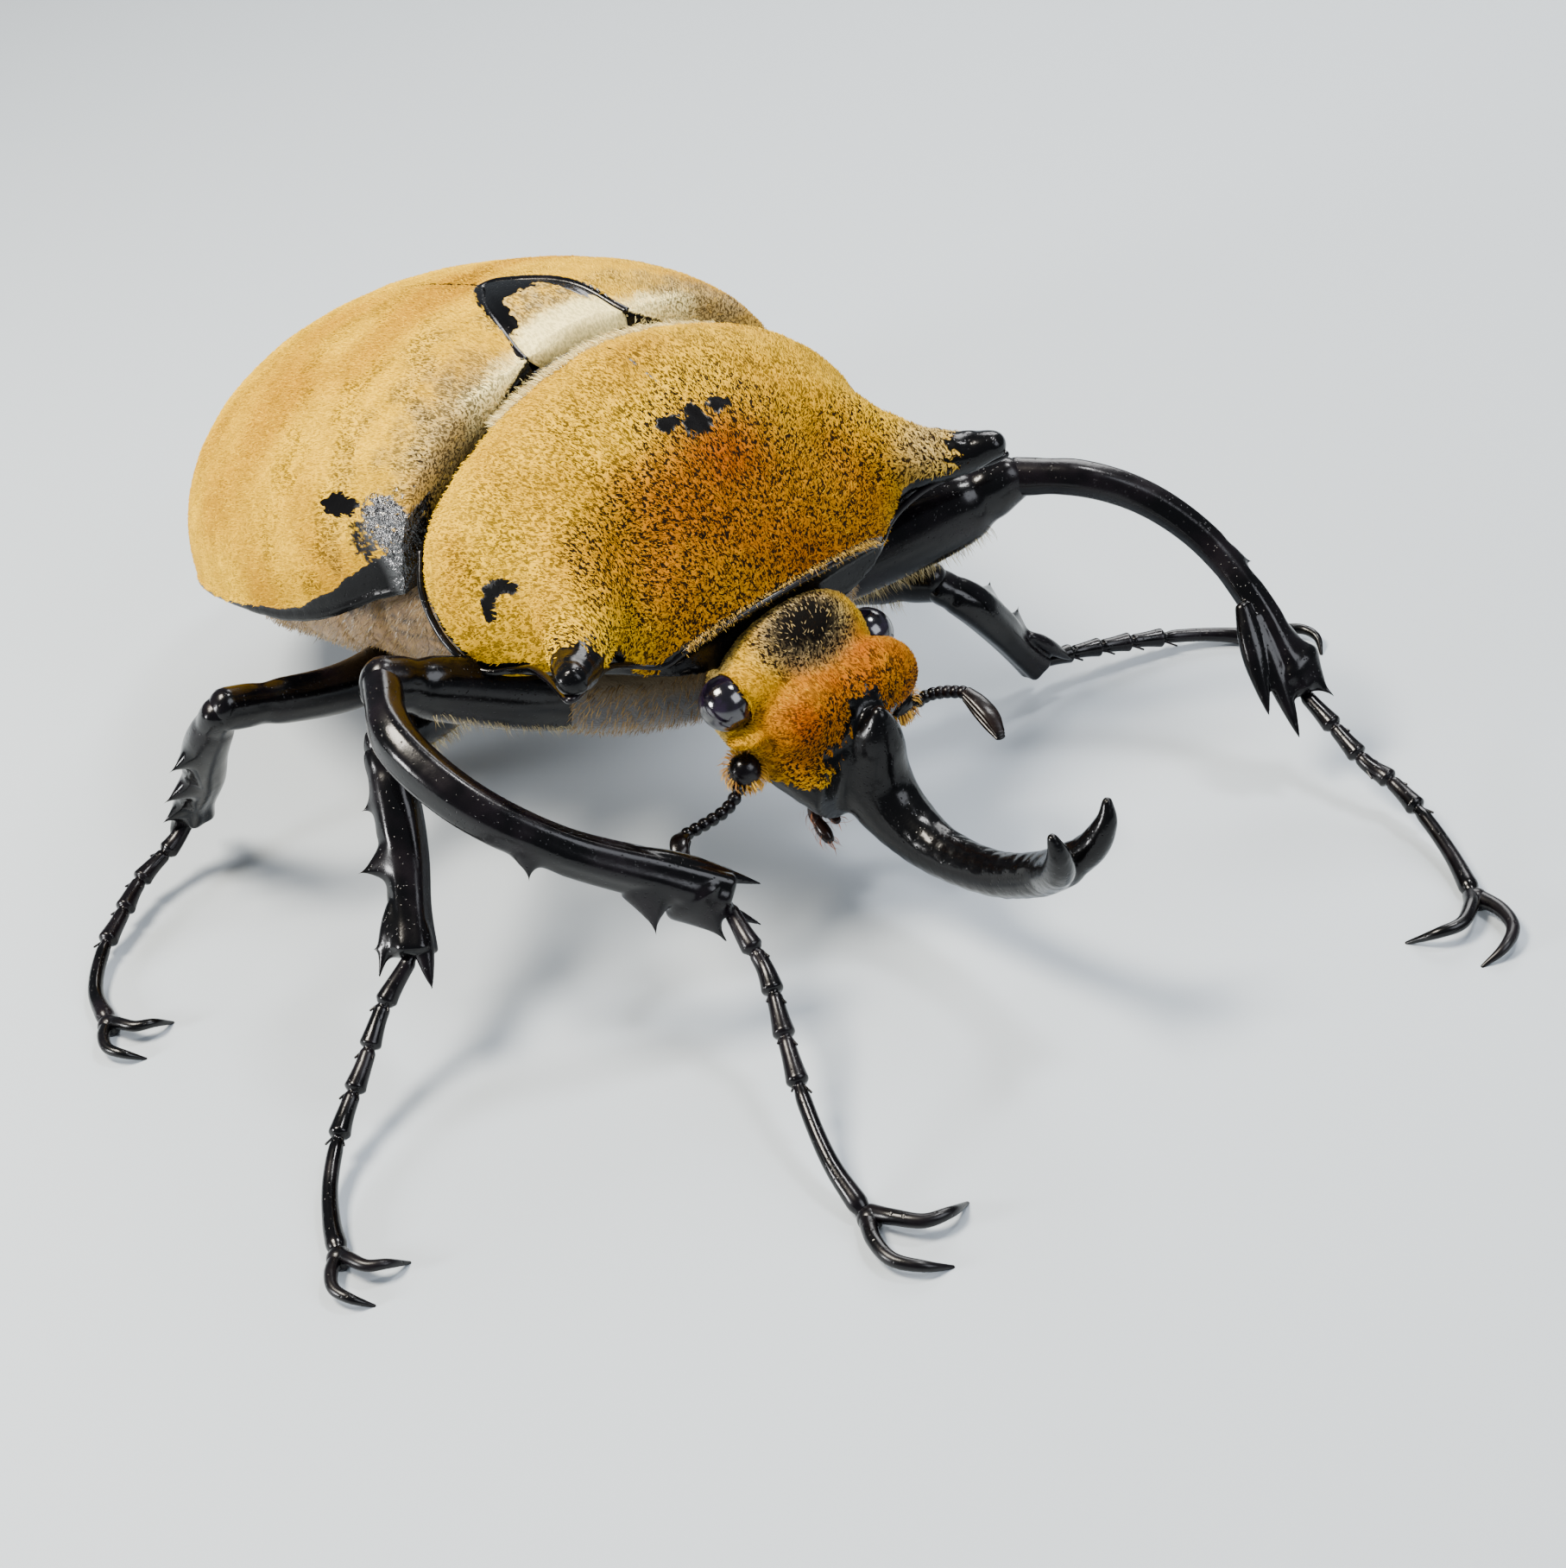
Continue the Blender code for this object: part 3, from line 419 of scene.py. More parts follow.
def rod(rows: list, up: tuple = (0, 0, 1), count: int = 40, sides: int = 24,
        profile: Callable[[np.ndarray, np.ndarray], np.ndarray] | None = None, cap: float = 0.8) -> Skin:
    """A rounded rod along rows of (x, y, z, half width, half depth), depth towards up.

    Args:
        rows: the centre line and half sizes.
        up: direction of the depth.
        count: rings along it.
        sides: points around it.
        profile: factor on the radius from the share along and the angle around.
        cap: length of the rounded ends in radii.

    Returns:
        c(s) + cos(a) w(s) side + sin(a) h(s) top, closed by rings that shrink as sqrt(1 - q^2).
    """
    path = smooth_path(rows, count)
    centre, half = path[:, :3], path[:, 3:5]
    along = np.gradient(centre, axis=0)
    along /= norm(along, axis=1)[:, None]
    side = np.cross(along, up)
    side /= norm(side, axis=1)[:, None]
    top = np.cross(side, along)
    q = np.sin(np.linspace(0, math.pi / 2, 6))[1:-1]
    q = np.append(q, 0.985)
    first, last = half[0].mean(), half[-1].mean()
    centre = np.vstack([centre[0] - along[0] * first * 0.8 * q[::-1, None], centre,
                        centre[-1] + along[-1] * last * cap * q[:, None]])
    shrink = np.sqrt(1 - q**2)[:, None]
    half = np.vstack([half[0] * shrink[::-1], half, half[-1] * shrink])
    pad = len(q)
    side = np.vstack([np.repeat(side[:1], pad, 0), side, np.repeat(side[-1:], pad, 0)])
    top = np.vstack([np.repeat(top[:1], pad, 0), top, np.repeat(top[-1:], pad, 0)])
    angle = np.linspace(0, 2 * math.pi, sides, endpoint=False)
    factor = np.ones((len(centre), sides))
    if profile:
        s = np.clip((np.arange(len(centre)) - pad) / (count - 1), 0, 1)
        factor = profile(s[:, None], angle[None, :])
    points = (centre[:, None] + (np.cos(angle)[None] * half[:, :1] * factor)[..., None] * side[:, None]
              + (np.sin(angle)[None] * half[:, 1:] * factor)[..., None] * top[:, None])
    return Skin(points)


def ball(centre: tuple, radii: tuple, rings: int = 20, sides: int = 28) -> Skin:
    """Ellipsoid c + (a sin v cos u, b sin v sin u, c cos v)."""
    v = np.linspace(0.06, math.pi - 0.06, rings)[:, None]
    u = np.linspace(0, 2 * math.pi, sides, endpoint=False)[None]
    points = np.stack([np.sin(v) * np.cos(u), np.sin(v) * np.sin(u), np.cos(v) * np.ones_like(u)], axis=-1)
    return Skin(points * np.array(radii) + np.array(centre))


def cone(base: Points, tip: Points, radius: float, power: float = 0.9, sides: int = 10,
         wide: Points | None = None, flat: float = 1.0) -> Skin:
    """Tapered spine, b + (t - b) s, of radius r (1 - s)^power towards wide and flat times that across."""
    base, tip = np.asarray(base, float), np.asarray(tip, float)
    rows = []
    for s in (0, 0.15, 0.3, 0.5, 0.75, 1.0):
        size = max(radius * (1 - s) ** power, 0.1)
        rows.append((*(base + (tip - base) * s), size, max(size * flat, 0.1)))
    along = tip - base
    if wide is None:
        up = (0, 0, 1) if abs(along[2]) < 0.9 * norm(along) else (1, 0, 0)
    else:
        up = tuple(np.cross(along, wide))
    return rod(rows, up=up, count=24, sides=sides)


@dataclass
class Elytra:
    """The two wing cases, a dome on a rim plane that falls to the rear."""

    tilt: float = 18.0
    half_width: float = 25.55
    widest: float = 25.0
    start: float = 0.7
    end: float = 60.0
    height: float = 19.5
    rim: float = -13.6
    front_power: float = 2.45
    rear_power: float = 2.25
    suture_gap: float = 0.16
    shoulder_dip: float = 1.7
    rim_rise: tuple = ((0, 4, 8, 13, 19, 27, 34, 60), (0.3, 0.3, -0.4, -0.9, -1.2, -0.5, 0, 0))
    strip: tuple = ((0, 2.1, 2.6, 3.1, 3.8, 5.2, 8.6, 12.3, 16.9, 24.7, 40, 60),
                    (12, 9.0, 7.6, 6.2, 5.0, 3.9, 2.9, 1.5, 0.25, 0.1, 0.4, 0.5))
    notch_half: float = 5.0
    notch_front: float = 0.9
    notch_apex: float = 12.6
    patch: tuple = (9.8, 2.1, 0.884, 0.021)
    tail: tuple = (7.2, 1.5, 0.925, 0.022)
    shine: tuple = (4.9, 2.5, 0.888, 0.036)
    folds: tuple = (4.6, 2.6, 0.885, 0.04)
    shoulder: tuple = ((0.4, 0.6, 0.73, 0.82, 0.9, 1.0), (0.2, 0.7, 1.3, 2.2, 3.2, 4.5))
    rows: int = 260
    columns: int = 140

    def size(self, y: np.ndarray) -> tuple[np.ndarray, np.ndarray]:
        """Half width and height at y along the rim plane, both times (1 - u^p)^(1/p)."""
        fore = (y - self.widest) / (self.widest + 11.0)
        aft = (y - self.widest) / (self.end - self.widest)
        u = np.clip(np.abs(np.where(y < self.widest, fore, aft)), 0, 1)
        power = np.where(y < self.widest, self.front_power, self.rear_power)
        share = (1 - u**power) ** (1 / power)
        return self.half_width * share, self.height * share

    def top(self, x: np.ndarray, y: np.ndarray) -> np.ndarray:
        """Height of the dome over the rim plane at (x, y)."""
        width, height = self.size(y)
        across = np.clip(np.abs(x) / np.maximum(width, 0.001), 0, 1)
        dip = self.shoulder_dip * bell(y - self.start, 3.5) * (1 - across**2) ** 2
        return (height - dip) * np.sqrt(1 - across**2)

    def local(self, points: Points) -> tuple[np.ndarray, np.ndarray, np.ndarray]:
        """Length along the rim plane, share of the half width and height over the plane."""
        flat = turned(points, -self.tilt)
        width, _ = self.size(np.clip(flat[..., 1], self.start, self.end - 0.3))
        return flat[..., 1], np.abs(flat[..., 0]) / np.maximum(width, 0.5), flat[..., 2] - self.rim

    def notch(self, x: np.ndarray, y: np.ndarray) -> np.ndarray:
        """How far a place lies inside the scutellum's outline, in millimetres."""
        share = np.clip((y - self.notch_front) / (self.notch_apex - self.notch_front), 0, 1)
        reach = leaf_reach(self.notch_half, share) + 0.25
        inside = np.minimum(reach - np.abs(x), (self.notch_apex - y) * 0.45)
        return np.where(y > -3, inside, -1)

    def ring(self, y: np.ndarray, across: np.ndarray, spot: tuple) -> np.ndarray:
        """Distance from a worn spot in its own radii, less 1; a spot is (y, radius, share across, radius)."""
        return np.hypot((y - spot[0]) / spot[1], (across - spot[2]) / spot[3]) - 1

    def marks(self, points: Points) -> Marks:
        """Bald black patches, the bare strip over the rim, dark smudges and the cream front edge."""
        y, across, up = self.local(points)
        x = points[..., 0]
        wobble = ripple(points, 3.2, 11) + 0.5 * ripple(points, 1.3, 12)
        frayed = 0.5 * wobble + 0.6 * ripple(points * [1, 0.5, 1], 0.7, 13)
        strip = np.interp(y, *self.strip)
        edge = step(-0.2, 0.2, strip - up + 0.12 * wobble)
        nape = step(-0.5, 0.5, np.interp(across, *self.shoulder) - y + 0.4 * frayed)
        low = step(0.76, 0.88, across)
        bare = np.maximum(edge, nape * (0.3 + 0.6 * low))
        patch = step(0.1, -0.1, self.ring(y, across, self.patch) + 0.3 * frayed)
        tail = step(0.25, -0.25, self.ring(y, across, self.tail) + 0.55 * frayed)
        shine = step(0.4, -0.3, self.ring(y, across, self.shine) + 0.35 * frayed)
        streaks = step(0.1, 0.5, frayed) * step(9.5, 5.0, y) * step(0.7, 0.86, across)
        worn = np.max([patch, 0.6 * tail, shine * (0.75 + 0.3 * frayed), 0.6 * streaks], axis=0)
        spot = blob(points + 0.15 * wobble[..., None], (9.7, -0.6, 0.0), (0.9, 0.7, 0.9), 0.3)
        bare = np.max([bare, np.where(x < 0, worn, 0.6 * worn), spot], axis=0)
        flat = turned(points, -self.tilt)
        bare = np.maximum(bare, step(-0.25, 0.0, self.notch(flat[..., 0], flat[..., 1])))
        bare = np.maximum(bare, 0.85 * step(0.22, 0.12, np.abs(x)) * step(12.0, 14.0, y))
        smudge = step(0.0, 1.0, ripple(points, 8.0, 3) + 0.6 * ripple(points, 3.0, 4)) * step(0.0, 6.0, y)
        smudge *= 0.35 + 0.65 * step(30, 12, y)
        cream = step(2.4, 1.0, y + 0.3 * wobble) * step(0.62, 0.45, across)
        shade = step(7.0, 1.5, y - wobble) * step(0.25, 0.5, across)
        return {"bare": bare, "rust": 0.1 * step(0.4, 1.2, ripple(points, 13.0, 5)),
                "soot": np.clip(0.12 + 0.55 * smudge + 0.6 * shade + 0.5 * streaks, 0, 1),
                "pale": step(-1.1, 0.8, ripple(points, 16.0, 6)), "cream": cream,
                "dull": np.maximum(patch, 0.65 * edge),
                "silver": np.clip(0.6 * shade * (1 - 0.5 * low) + 0.2 * smudge * step(14, 6, y), 0, 1),
                "wrinkle": np.where(x < 0, 0.9, 0.3) * step(0.5, -0.1, self.ring(y, across, self.folds))}

    def skin(self, side: Side) -> Skin:
        """Outer dome from rim to suture, then down the suture and back under the rim."""
        turn = 1 - np.linspace(0, 1, self.columns) ** 0.92
        lean = math.tan(math.radians(self.tilt))
        rings = []
        for share in np.linspace(0, 0.985, self.rows):
            y = self.start + (self.end - 0.2 - self.start) * share
            width, height = self.size(np.array(y))
            rise = np.interp(y, *self.rim_rise) * min(1, height / 10)
            angle = turn * math.acos(rise / height)
            x = np.maximum(width * np.sin(angle), self.suture_gap / 2)
            z = self.rim + np.where(np.cos(angle) > 0, self.top(x, y), height * np.cos(angle))
            roll = 0.28 * bell((1 - turn) - 0.012, 0.012)
            crease = -0.16 * bell(x, 0.5)
            outer = np.column_stack([x + roll, np.full_like(x, y), z + crease])
            seen = y - z * lean * (1 - share) ** 4
            outer[:, 2] -= 1.3 * step(0.0, 0.18, self.notch(x, seen)) * (z > 0)
            low = self.rim + rise
            inner = np.array([[self.suture_gap / 2, y, self.rim + height * 0.6],
                              [self.suture_gap / 2, y, low + 0.4], [width * 0.5, y, low + 0.6],
                              [width * 0.9, y, low + 0.25]])
            ring = np.vstack([outer, inner])
            ring[:, 1] -= ring[:, 2] * lean * (1 - share) ** 4
            ring[:, 0] *= side.value
            rings.append(turned(ring, self.tilt))
        points = np.array(rings)
        bumps = 0.05 * ripple(points, 5.0, 21) + 0.03 * ripple(points, 2.2, 22)
        points[..., 2] += bumps * step(0.0, 0.2, points[..., 2] - points[..., 2].min())
        return Skin(points)

    def build(self) -> list[Piece]:
        """Both wing cases."""
        made = []
        for side in Side:
            piece = make_mesh(f"wing_case_{side.word}", [self.skin(side)], self.marks)
            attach(piece, "root")
            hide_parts(f"elytron_{side.word}")
            made.append(piece)
        return made


@dataclass
class Scutellum:
    """Velvet triangle between the wing cases with a bare polished border."""

    elytra: Elytra
    half_base: float = 4.9
    front: float = 1.0
    apex: float = 12.4

    def marks(self, points: Points) -> Marks:
        """Bare border, by the share of the half width and of the length."""
        flat = turned(points, -self.elytra.tilt)
        share = np.clip((flat[..., 1] - self.front) / (self.apex - self.front), 0, 1)
        border = leaf_reach(self.half_base, share) + 0.25 - np.abs(flat[..., 0])
        wobble = ripple(points, 1.4, 8) + 0.8 * ripple(points * [1, 0.4, 1], 0.5, 9)
        cream = step(3.0, 1.6, flat[..., 1] - self.front + 0.2 * wobble)
        bare = np.maximum(step(1.75, 1.35, border + 0.16 * wobble), step(0.5, 0.56, share + 0.03 * wobble))
        bare *= 1 - cream
        return {"bare": bare, "rust": 0 * bare, "soot": 0.55 * (1 - cream), "pale": 0.8 + 0 * bare,
                "cream": cream, "silver": np.clip(0.6 * (1 - cream) * (0.7 + 0.3 * wobble), 0, 1)}

    def border(self) -> Piece:
        """Polished ridge along the wing cases' edge, from one front corner round the apex to the other."""
        rows = []
        for share in np.concatenate([np.linspace(0.0, 0.99, 16), np.linspace(0.99, 0.0, 16)]):
            y = self.front + (self.apex - self.front) * share + 0.25 * (share > 0.9)
            x = (leaf_reach(self.half_base, share) + 0.42) * (1 if len(rows) < 16 else -1)
            top = self.elytra.rim + float(self.elytra.top(np.array(x), np.array(y)))
            size = 0.3 + 0.12 * share
            rows.append((*turned(np.array([x, y, top - 0.12]), self.elytra.tilt), size * 1.3, size))
        made = make_mesh("scutellum_border", [rod(rows, count=160, sides=20)])
        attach(made, "root")
        return made

    def build(self) -> Piece:
        """A shallow shield whose top follows the dome."""
        rings = []
        for y in np.linspace(self.front, self.apex, 60):
            share = (y - self.front) / (self.apex - self.front)
            across = np.linspace(-1, 1, 40)
            x = (leaf_reach(self.half_base, share) + 0.2) * across
            top = self.elytra.rim + self.elytra.top(x * 0, y) - 0.02 * x**2 + 0.35 * (1 - share) + 0.2
            top -= 0.5 * np.abs(across) ** 8 + 0.12 * bell(np.abs(across) - 0.8, 0.08)
            upper = np.column_stack([x, np.full_like(x, y), top])
            lower = np.column_stack([x[::-8], np.full_like(x[::-8], y), top.min() - 2.2 + 0 * x[::-8]])
            rings.append(turned(np.vstack([upper, lower]), self.elytra.tilt))
        made = make_mesh("scutellum_shield", [Skin(np.array(rings))], self.marks)
        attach(made, "root")
        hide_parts("scutellum")
        return made


@dataclass
class Pronotum:
    """The fore shield with its two velvet horns and their bare tips."""

    rim: tuple = ((19.4, -0.9, -10.5), (21.15, -3.0, -12.9), (21.75, -6.0, -15.6),
                  (21.15, -9.3, -17.3), (19.75, -12.3, -16.9), (18.3, -15.5, -16.3),
                  (15.6, -18.8, -16.5), (11.6, -20.8, -17.6))
    back: tuple = ((0, -1.25, -0.15), (0, -4.6, 0.4), (0, -8.2, -0.1), (0, -12.2, -1.7), (0, -15.9, -4.0),
                   (0, -18.8, -7.3), (0, -21.3, -11.4), (0, -22.8, -15.0))
    roundness: tuple = (1.65, 2.08)
    belly: float = 3.0
    horn: tuple = ((9.5, -9.8, -8.6, 6.1), (13.5, -14.4, -11.0, 4.85), (17.0, -18.5, -12.6, 3.25),
                   (19.9, -21.8, -12.5, 2.15), (22.1, -24.2, -11.8, 1.35))
    web: tuple = ((19.2, -21.6, -13.0, 1.2), (17.0, -19.9, -13.4, 1.6), (15.0, -18.5, -14.0, 2.0),
                  (13.0, -18.3, -15.3, 2.1), (10.8, -18.7, -16.3, 2.0))
    bead_path: tuple = ((19.7, -0.9, -10.4), (21.5, -3.0, -12.8), (22.15, -6.0, -15.5),
                        (21.5, -9.4, -17.3), (20.1, -12.4, -16.8), (20.3, -15.5, -15.3),
                        (21.0, -19.0, -14.5), (22.1, -22.3, -13.7), (22.9, -24.6, -12.9),
                        (21.6, -24.3, -13.1), (19.6, -22.7, -13.7), (17.2, -21.1, -14.6),
                        (15.2, -20.2, -15.7), (13.5, -20.0, -16.7), (11.6, -20.9, -17.3),
                        (9.6, -21.8, -16.4), (6.6, -22.5, -15.6), (3.2, -22.9, -15.2), (0, -23.0, -15.1))
    worn: tuple = (((-0.4, -14.5, -2.9), (1.35, 0.8, 1.6)), ((0.4, -13.5, -2.5), (0.75, 1.1, 1.3)),
                   ((2.6, -13.8, -2.7), (1.2, 0.65, 1.3)), ((-2.0, -13.4, -2.4), (1.1, 0.7, 1.2)))
    comma: tuple = ((-18.3, -11.9, -10.1), (-18.9, -10.9, -10.1), (-19.5, -10.2, -10.6),
                    (-20.0, -10.3, -11.7), (-20.1, -10.7, -12.4))
    black_from: float = 0.8
    voxel: float = 0.24

    def rim_distance(self, points: Points) -> np.ndarray:
        """Distance from the rim line, either side."""
        return distance(mirrored(points), smooth_path(self.rim, 60))

    def front_distance(self, points: Points) -> np.ndarray:
        """Distance from the front margin, the arch of the last ring."""
        (rx, ry, rz), (_, my, mz) = self.rim[-1], self.back[-1]
        angle = np.linspace(-math.pi / 2, math.pi / 2, 60)
        across, rise = (signed_power(f(angle), 2 / self.roundness[1]) for f in (np.sin, np.cos))
        return distance(points, np.stack([rx * across, ry + (my - ry) * rise, rz + (mz - rz) * rise], axis=1))

    def below_front(self, points: Points) -> np.ndarray:
        """How far a place lies under the arch of the front margin."""
        (rx, _, rz), (_, _, mz) = self.rim[-1], self.back[-1]
        n = self.roundness[1]
        rise = (1 - np.clip(np.abs(points[..., 0]) / rx, 0, 1) ** n) ** (1 / n)
        return rz + (mz - rz) * rise - points[..., 2]

    def horn_share(self, points: Points) -> tuple[np.ndarray, np.ndarray]:
        """Share along the nearer horn's axis, 0 away from the horns, and height over it in radii."""
        line = smooth_path(self.horn, 80)
        probe = mirrored(points)
        best = np.full(points.shape[:-1], FAR)
        share = np.zeros(points.shape[:-1])
        over = np.zeros(points.shape[:-1])
        for i, spot in enumerate(line):
            d = norm(probe - spot[:3], axis=-1) / max(spot[3], 1.5)
            near = d < best
            best = np.where(near, d, best)
            share = np.where(near, i / (len(line) - 1), share)
            over = np.where(near, (points[..., 2] - spot[2]) / max(spot[3], 1.5), over)
        return share * step(2.2, 1.5, best), over

    def marks(self, points: Points) -> Marks:
        """Worn black patch, bare rims, horn tips, midline and warm front; painted shade, highlight and sheen.
        """
        x, y, _ = xyz(points)
        wobble = ripple(points, 3.0, 31)
        hairy = ripple(points * [1, 0.4, 0.7], 0.55, 36)
        ragged = 0.35 * wobble + 0.45 * hairy
        patch = np.zeros_like(x)
        for centre, radii in self.worn:
            reach = norm((points - centre) / np.array(radii), axis=-1) - 1
            patch = np.maximum(patch, step(0.15, -0.1, reach + 0.5 * ragged))
        comma = step(0.25, -0.25, stroke(points, self.comma, 0.62) + 0.3 * hairy)
        front = step(0.5, 0.3, self.front_distance(points) + 0.08 * hairy)
        share, over = self.horn_share(points)
        tip = step(self.black_from - 0.05, self.black_from + 0.06, share + 0.05 * hairy)
        below = step(-0.3, -0.6, over + 0.12 * hairy) * step(0.62, 0.72, share)
        margin = step(0.8, 0.5, self.rim_distance(points)) * step(-14.5, -13.0, y)
        face = (step(-0.05, 0.2, self.below_front(points)) * step(-20.0, -20.8, y)
                * step(12.5, 11.5, np.abs(x)))
        midline = step(0.14, 0.05, np.abs(x + 0.1 * wobble)) * (step(-1.0, -2.0, y) * step(-12.0, -8.0, y)
                                                               + 0.35 * step(-13, -18, y))
        hind = step(-1.5, -1.35, y)
        bare = np.max([patch, comma, front, tip, below, margin, face, midline, 0.8 * hind], axis=0)
        forward = step(-10.5, -18.5, y + 0.15 * np.abs(x)) * step(19, 8, np.abs(x))
        glow = blob(points, (1.0, -16.4, -4.6), (3.0, 2.4, 3.0), 0.7)
        rust = np.clip(0.05 + 0.48 * forward + 0.15 * ripple(points, 8.0, 33) + 0.2 * glow, 0, 1)
        # Painted silver sheen on the down by the left horn.
        silver = blob(points, (18.6, -21.0, -11.4), (3.4, 2.9, 3.2), 0.6) * (1 - tip)
        dusk = blob(points, (1.3, -13.8, -2.8), (5.5, 4.2, 5.0), 0.7)
        # Painted shade in the trough beside each horn, which darkens the down there.
        painted_trough_shade = blob(mirrored(points), (13.4, -17.6, -9.0), (2.6, 3.4, 4.0), 0.7)
        brown = blob(points, (-4.5, -17.8, -7.5), (7.5, 4.6, 6.0), 0.6)
        soot = np.clip(0.72 + 0.35 * forward + 0.12 * ripple(points, 4.5, 34) + 0.4 * dusk + 0.5 * painted_trough_shade
                       + 0.35 * brown + 0.5 * step(0.5, 0.8, share) - 0.2 * step(-6, -3, y)
                       - 0.1 * step(8, 16, np.abs(x)) * (1 - painted_trough_shade) - 0.12 * step(-9, -4, y), 0, 1)
        # Paler down on the sides, |x| 8 to 16 mm, and less dark grain there in the line above: a painted
        # highlight.
        pale = 0.75 + 0.35 * ripple(points, 12.0, 35) - 0.9 * forward + 0.5 * step(8, 16, np.abs(x))
        return {"bare": np.clip(bare, 0, 1), "rust": np.clip(rust + 0.3 * brown, 0, 1) * (1 - silver),
                "soot": soot, "pale": np.clip(pale, 0, 1), "dull": np.maximum(patch, comma),
                "cream": 0 * x, "silver": 0.6 * silver}

    def unwrap(self, points: Points) -> np.ndarray:
        """(angle about the body's long axis, length along it)."""
        x, y, z = xyz(points)
        angle = np.arctan2(x, z + 17.0) / (2 * math.pi) + 0.5
        return np.stack([0.02 + 0.96 * angle, 0.02 + 0.96 * np.clip((y + 27) / 27, 0, 1)], axis=-1)

    def shell(self) -> Skin:
        """Superellipse arches from the rim over the back line, with a shallow belly."""
        count = 90
        rim, back = smooth_path(self.rim, count), smooth_path(self.back, count)
        angle = np.radians(np.linspace(-90, 90, 121))
        low = np.radians(np.linspace(90, -90, 61))[1:-1]
        rings = []
        for s, r, m in zip(np.linspace(0, 1, count), rim, back):
            n = self.roundness[0] + (self.roundness[1] - self.roundness[0]) * min(1, s / 0.3)
            across = signed_power(np.sin(angle), 2 / n)
            rise = np.abs(np.cos(angle)) ** (2 / n)
            upper = np.column_stack([r[0] * across, r[1] + (m[1] - r[1]) * rise, r[2] + (m[2] - r[2]) * rise])
            lower = np.column_stack([r[0] * np.sin(low), r[1] + (m[1] - r[1]) * np.cos(low) * 0.5,
                                     r[2] - self.belly * np.cos(low)])
            rings.append(np.vstack([upper, lower]))
        return Skin(np.array(rings))

    def flare(self, points: Points) -> np.ndarray:
        """Weight of the flares where the horns leave the shield."""
        probe = mirrored(points)
        top = blob(probe, (12.8, -14.2, -7.0), (7.0, 6.5, 5.5), 0.3)
        return np.maximum(top, blob(probe, (15.5, -18.6, -15.0), (4.2, 3.4, 2.6), 0.4))

    def bead(self) -> Piece:
        """Thin polished bead round the whole free margin, out to the horns' tips and back."""
        half = [(*p, 0.3, 0.3) for p in self.bead_path]
        rows = half + [(-x, y, z, a, b) for x, y, z, a, b in half[-2::-1]]
        made = make_mesh("fore_shield_bead", [rod(rows, count=520, sides=14)])
        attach(made, "root")
        return made

    def shape(self, points: Points) -> Points:
        """Groove inside the rim, faint furrow along the midline, and trough and swelling beside each horn."""
        out = points.copy()
        x, y, z = xyz(points)
        rim = self.rim_distance(points)
        out[..., 2] -= 0.12 * bell(rim - 0.9, 0.35) * step(-18.0, -17.0, z)
        furrow = -0.16 * bell(x, 0.45) * step(-1.5, -8, y) * step(-17, -14, z)
        rough = 0.06 * ripple(points, 3.0, 41) + 0.04 * ripple(points, 1.4, 42)
        out[..., 2] += furrow + rough * step(-17, -15, z)
        probe = mirrored(points)
        trough = bell(norm((probe - (9.8, -18.0, -8.2)) / (2.6, 3.6, 3.6), axis=-1), 1.0)
        swell = bell(norm((probe - (13.0, -12.6, -6.2)) / (3.6, 3.4, 3.6), axis=-1), 1.0)
        out[..., 1] += 0.65 * trough
        out[..., 2] -= 0.5 * trough - 0.35 * swell
        return out

    def build(self) -> Piece:
        """Shell and horns melted into one skin."""
        skins = [self.shell()]
        for side in Side:
            for path in (self.horn, self.web):
                rows = [(side.value * x, y, z, r, r * 0.9) for x, y, z, r in path]
                skins.append(rod(rows, count=60, sides=48))
        made = fuse("fore_shield", skins, self.voxel, 8, self.marks, self.unwrap, self.shape, self.flare, 170)
        bare_below(made, -12.5)
        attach(made, "root")
        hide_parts("pronotum", "pronotum_horn_left", "pronotum_horn_right")
        return made


def rolled(points: Points) -> Points:
    """Points turned with the head about the right eye: left side down, a little back and inward."""
    points = np.array(points, float)
    points[..., 0] *= np.where(points[..., 0] > 0, HEAD_NARROW, 1.0)
    points[..., 1] += HEAD_TURN * (points[..., 0] - HEAD_PIVOT[0])
    angle = math.radians(HEAD_ROLL)
    x, z = points[..., 0] - HEAD_PIVOT[0], points[..., 2] - HEAD_PIVOT[1]
    points[..., 0] = HEAD_PIVOT[0] + x * math.cos(angle) + z * math.sin(angle)
    points[..., 2] = HEAD_PIVOT[1] - x * math.sin(angle) + z * math.cos(angle)
    return points


def eye_centre(side: Side) -> Points:
    """Middle of an eye, turned with the head."""
    return rolled((side.value * EYE_AT[0], *EYE_AT[1:]))


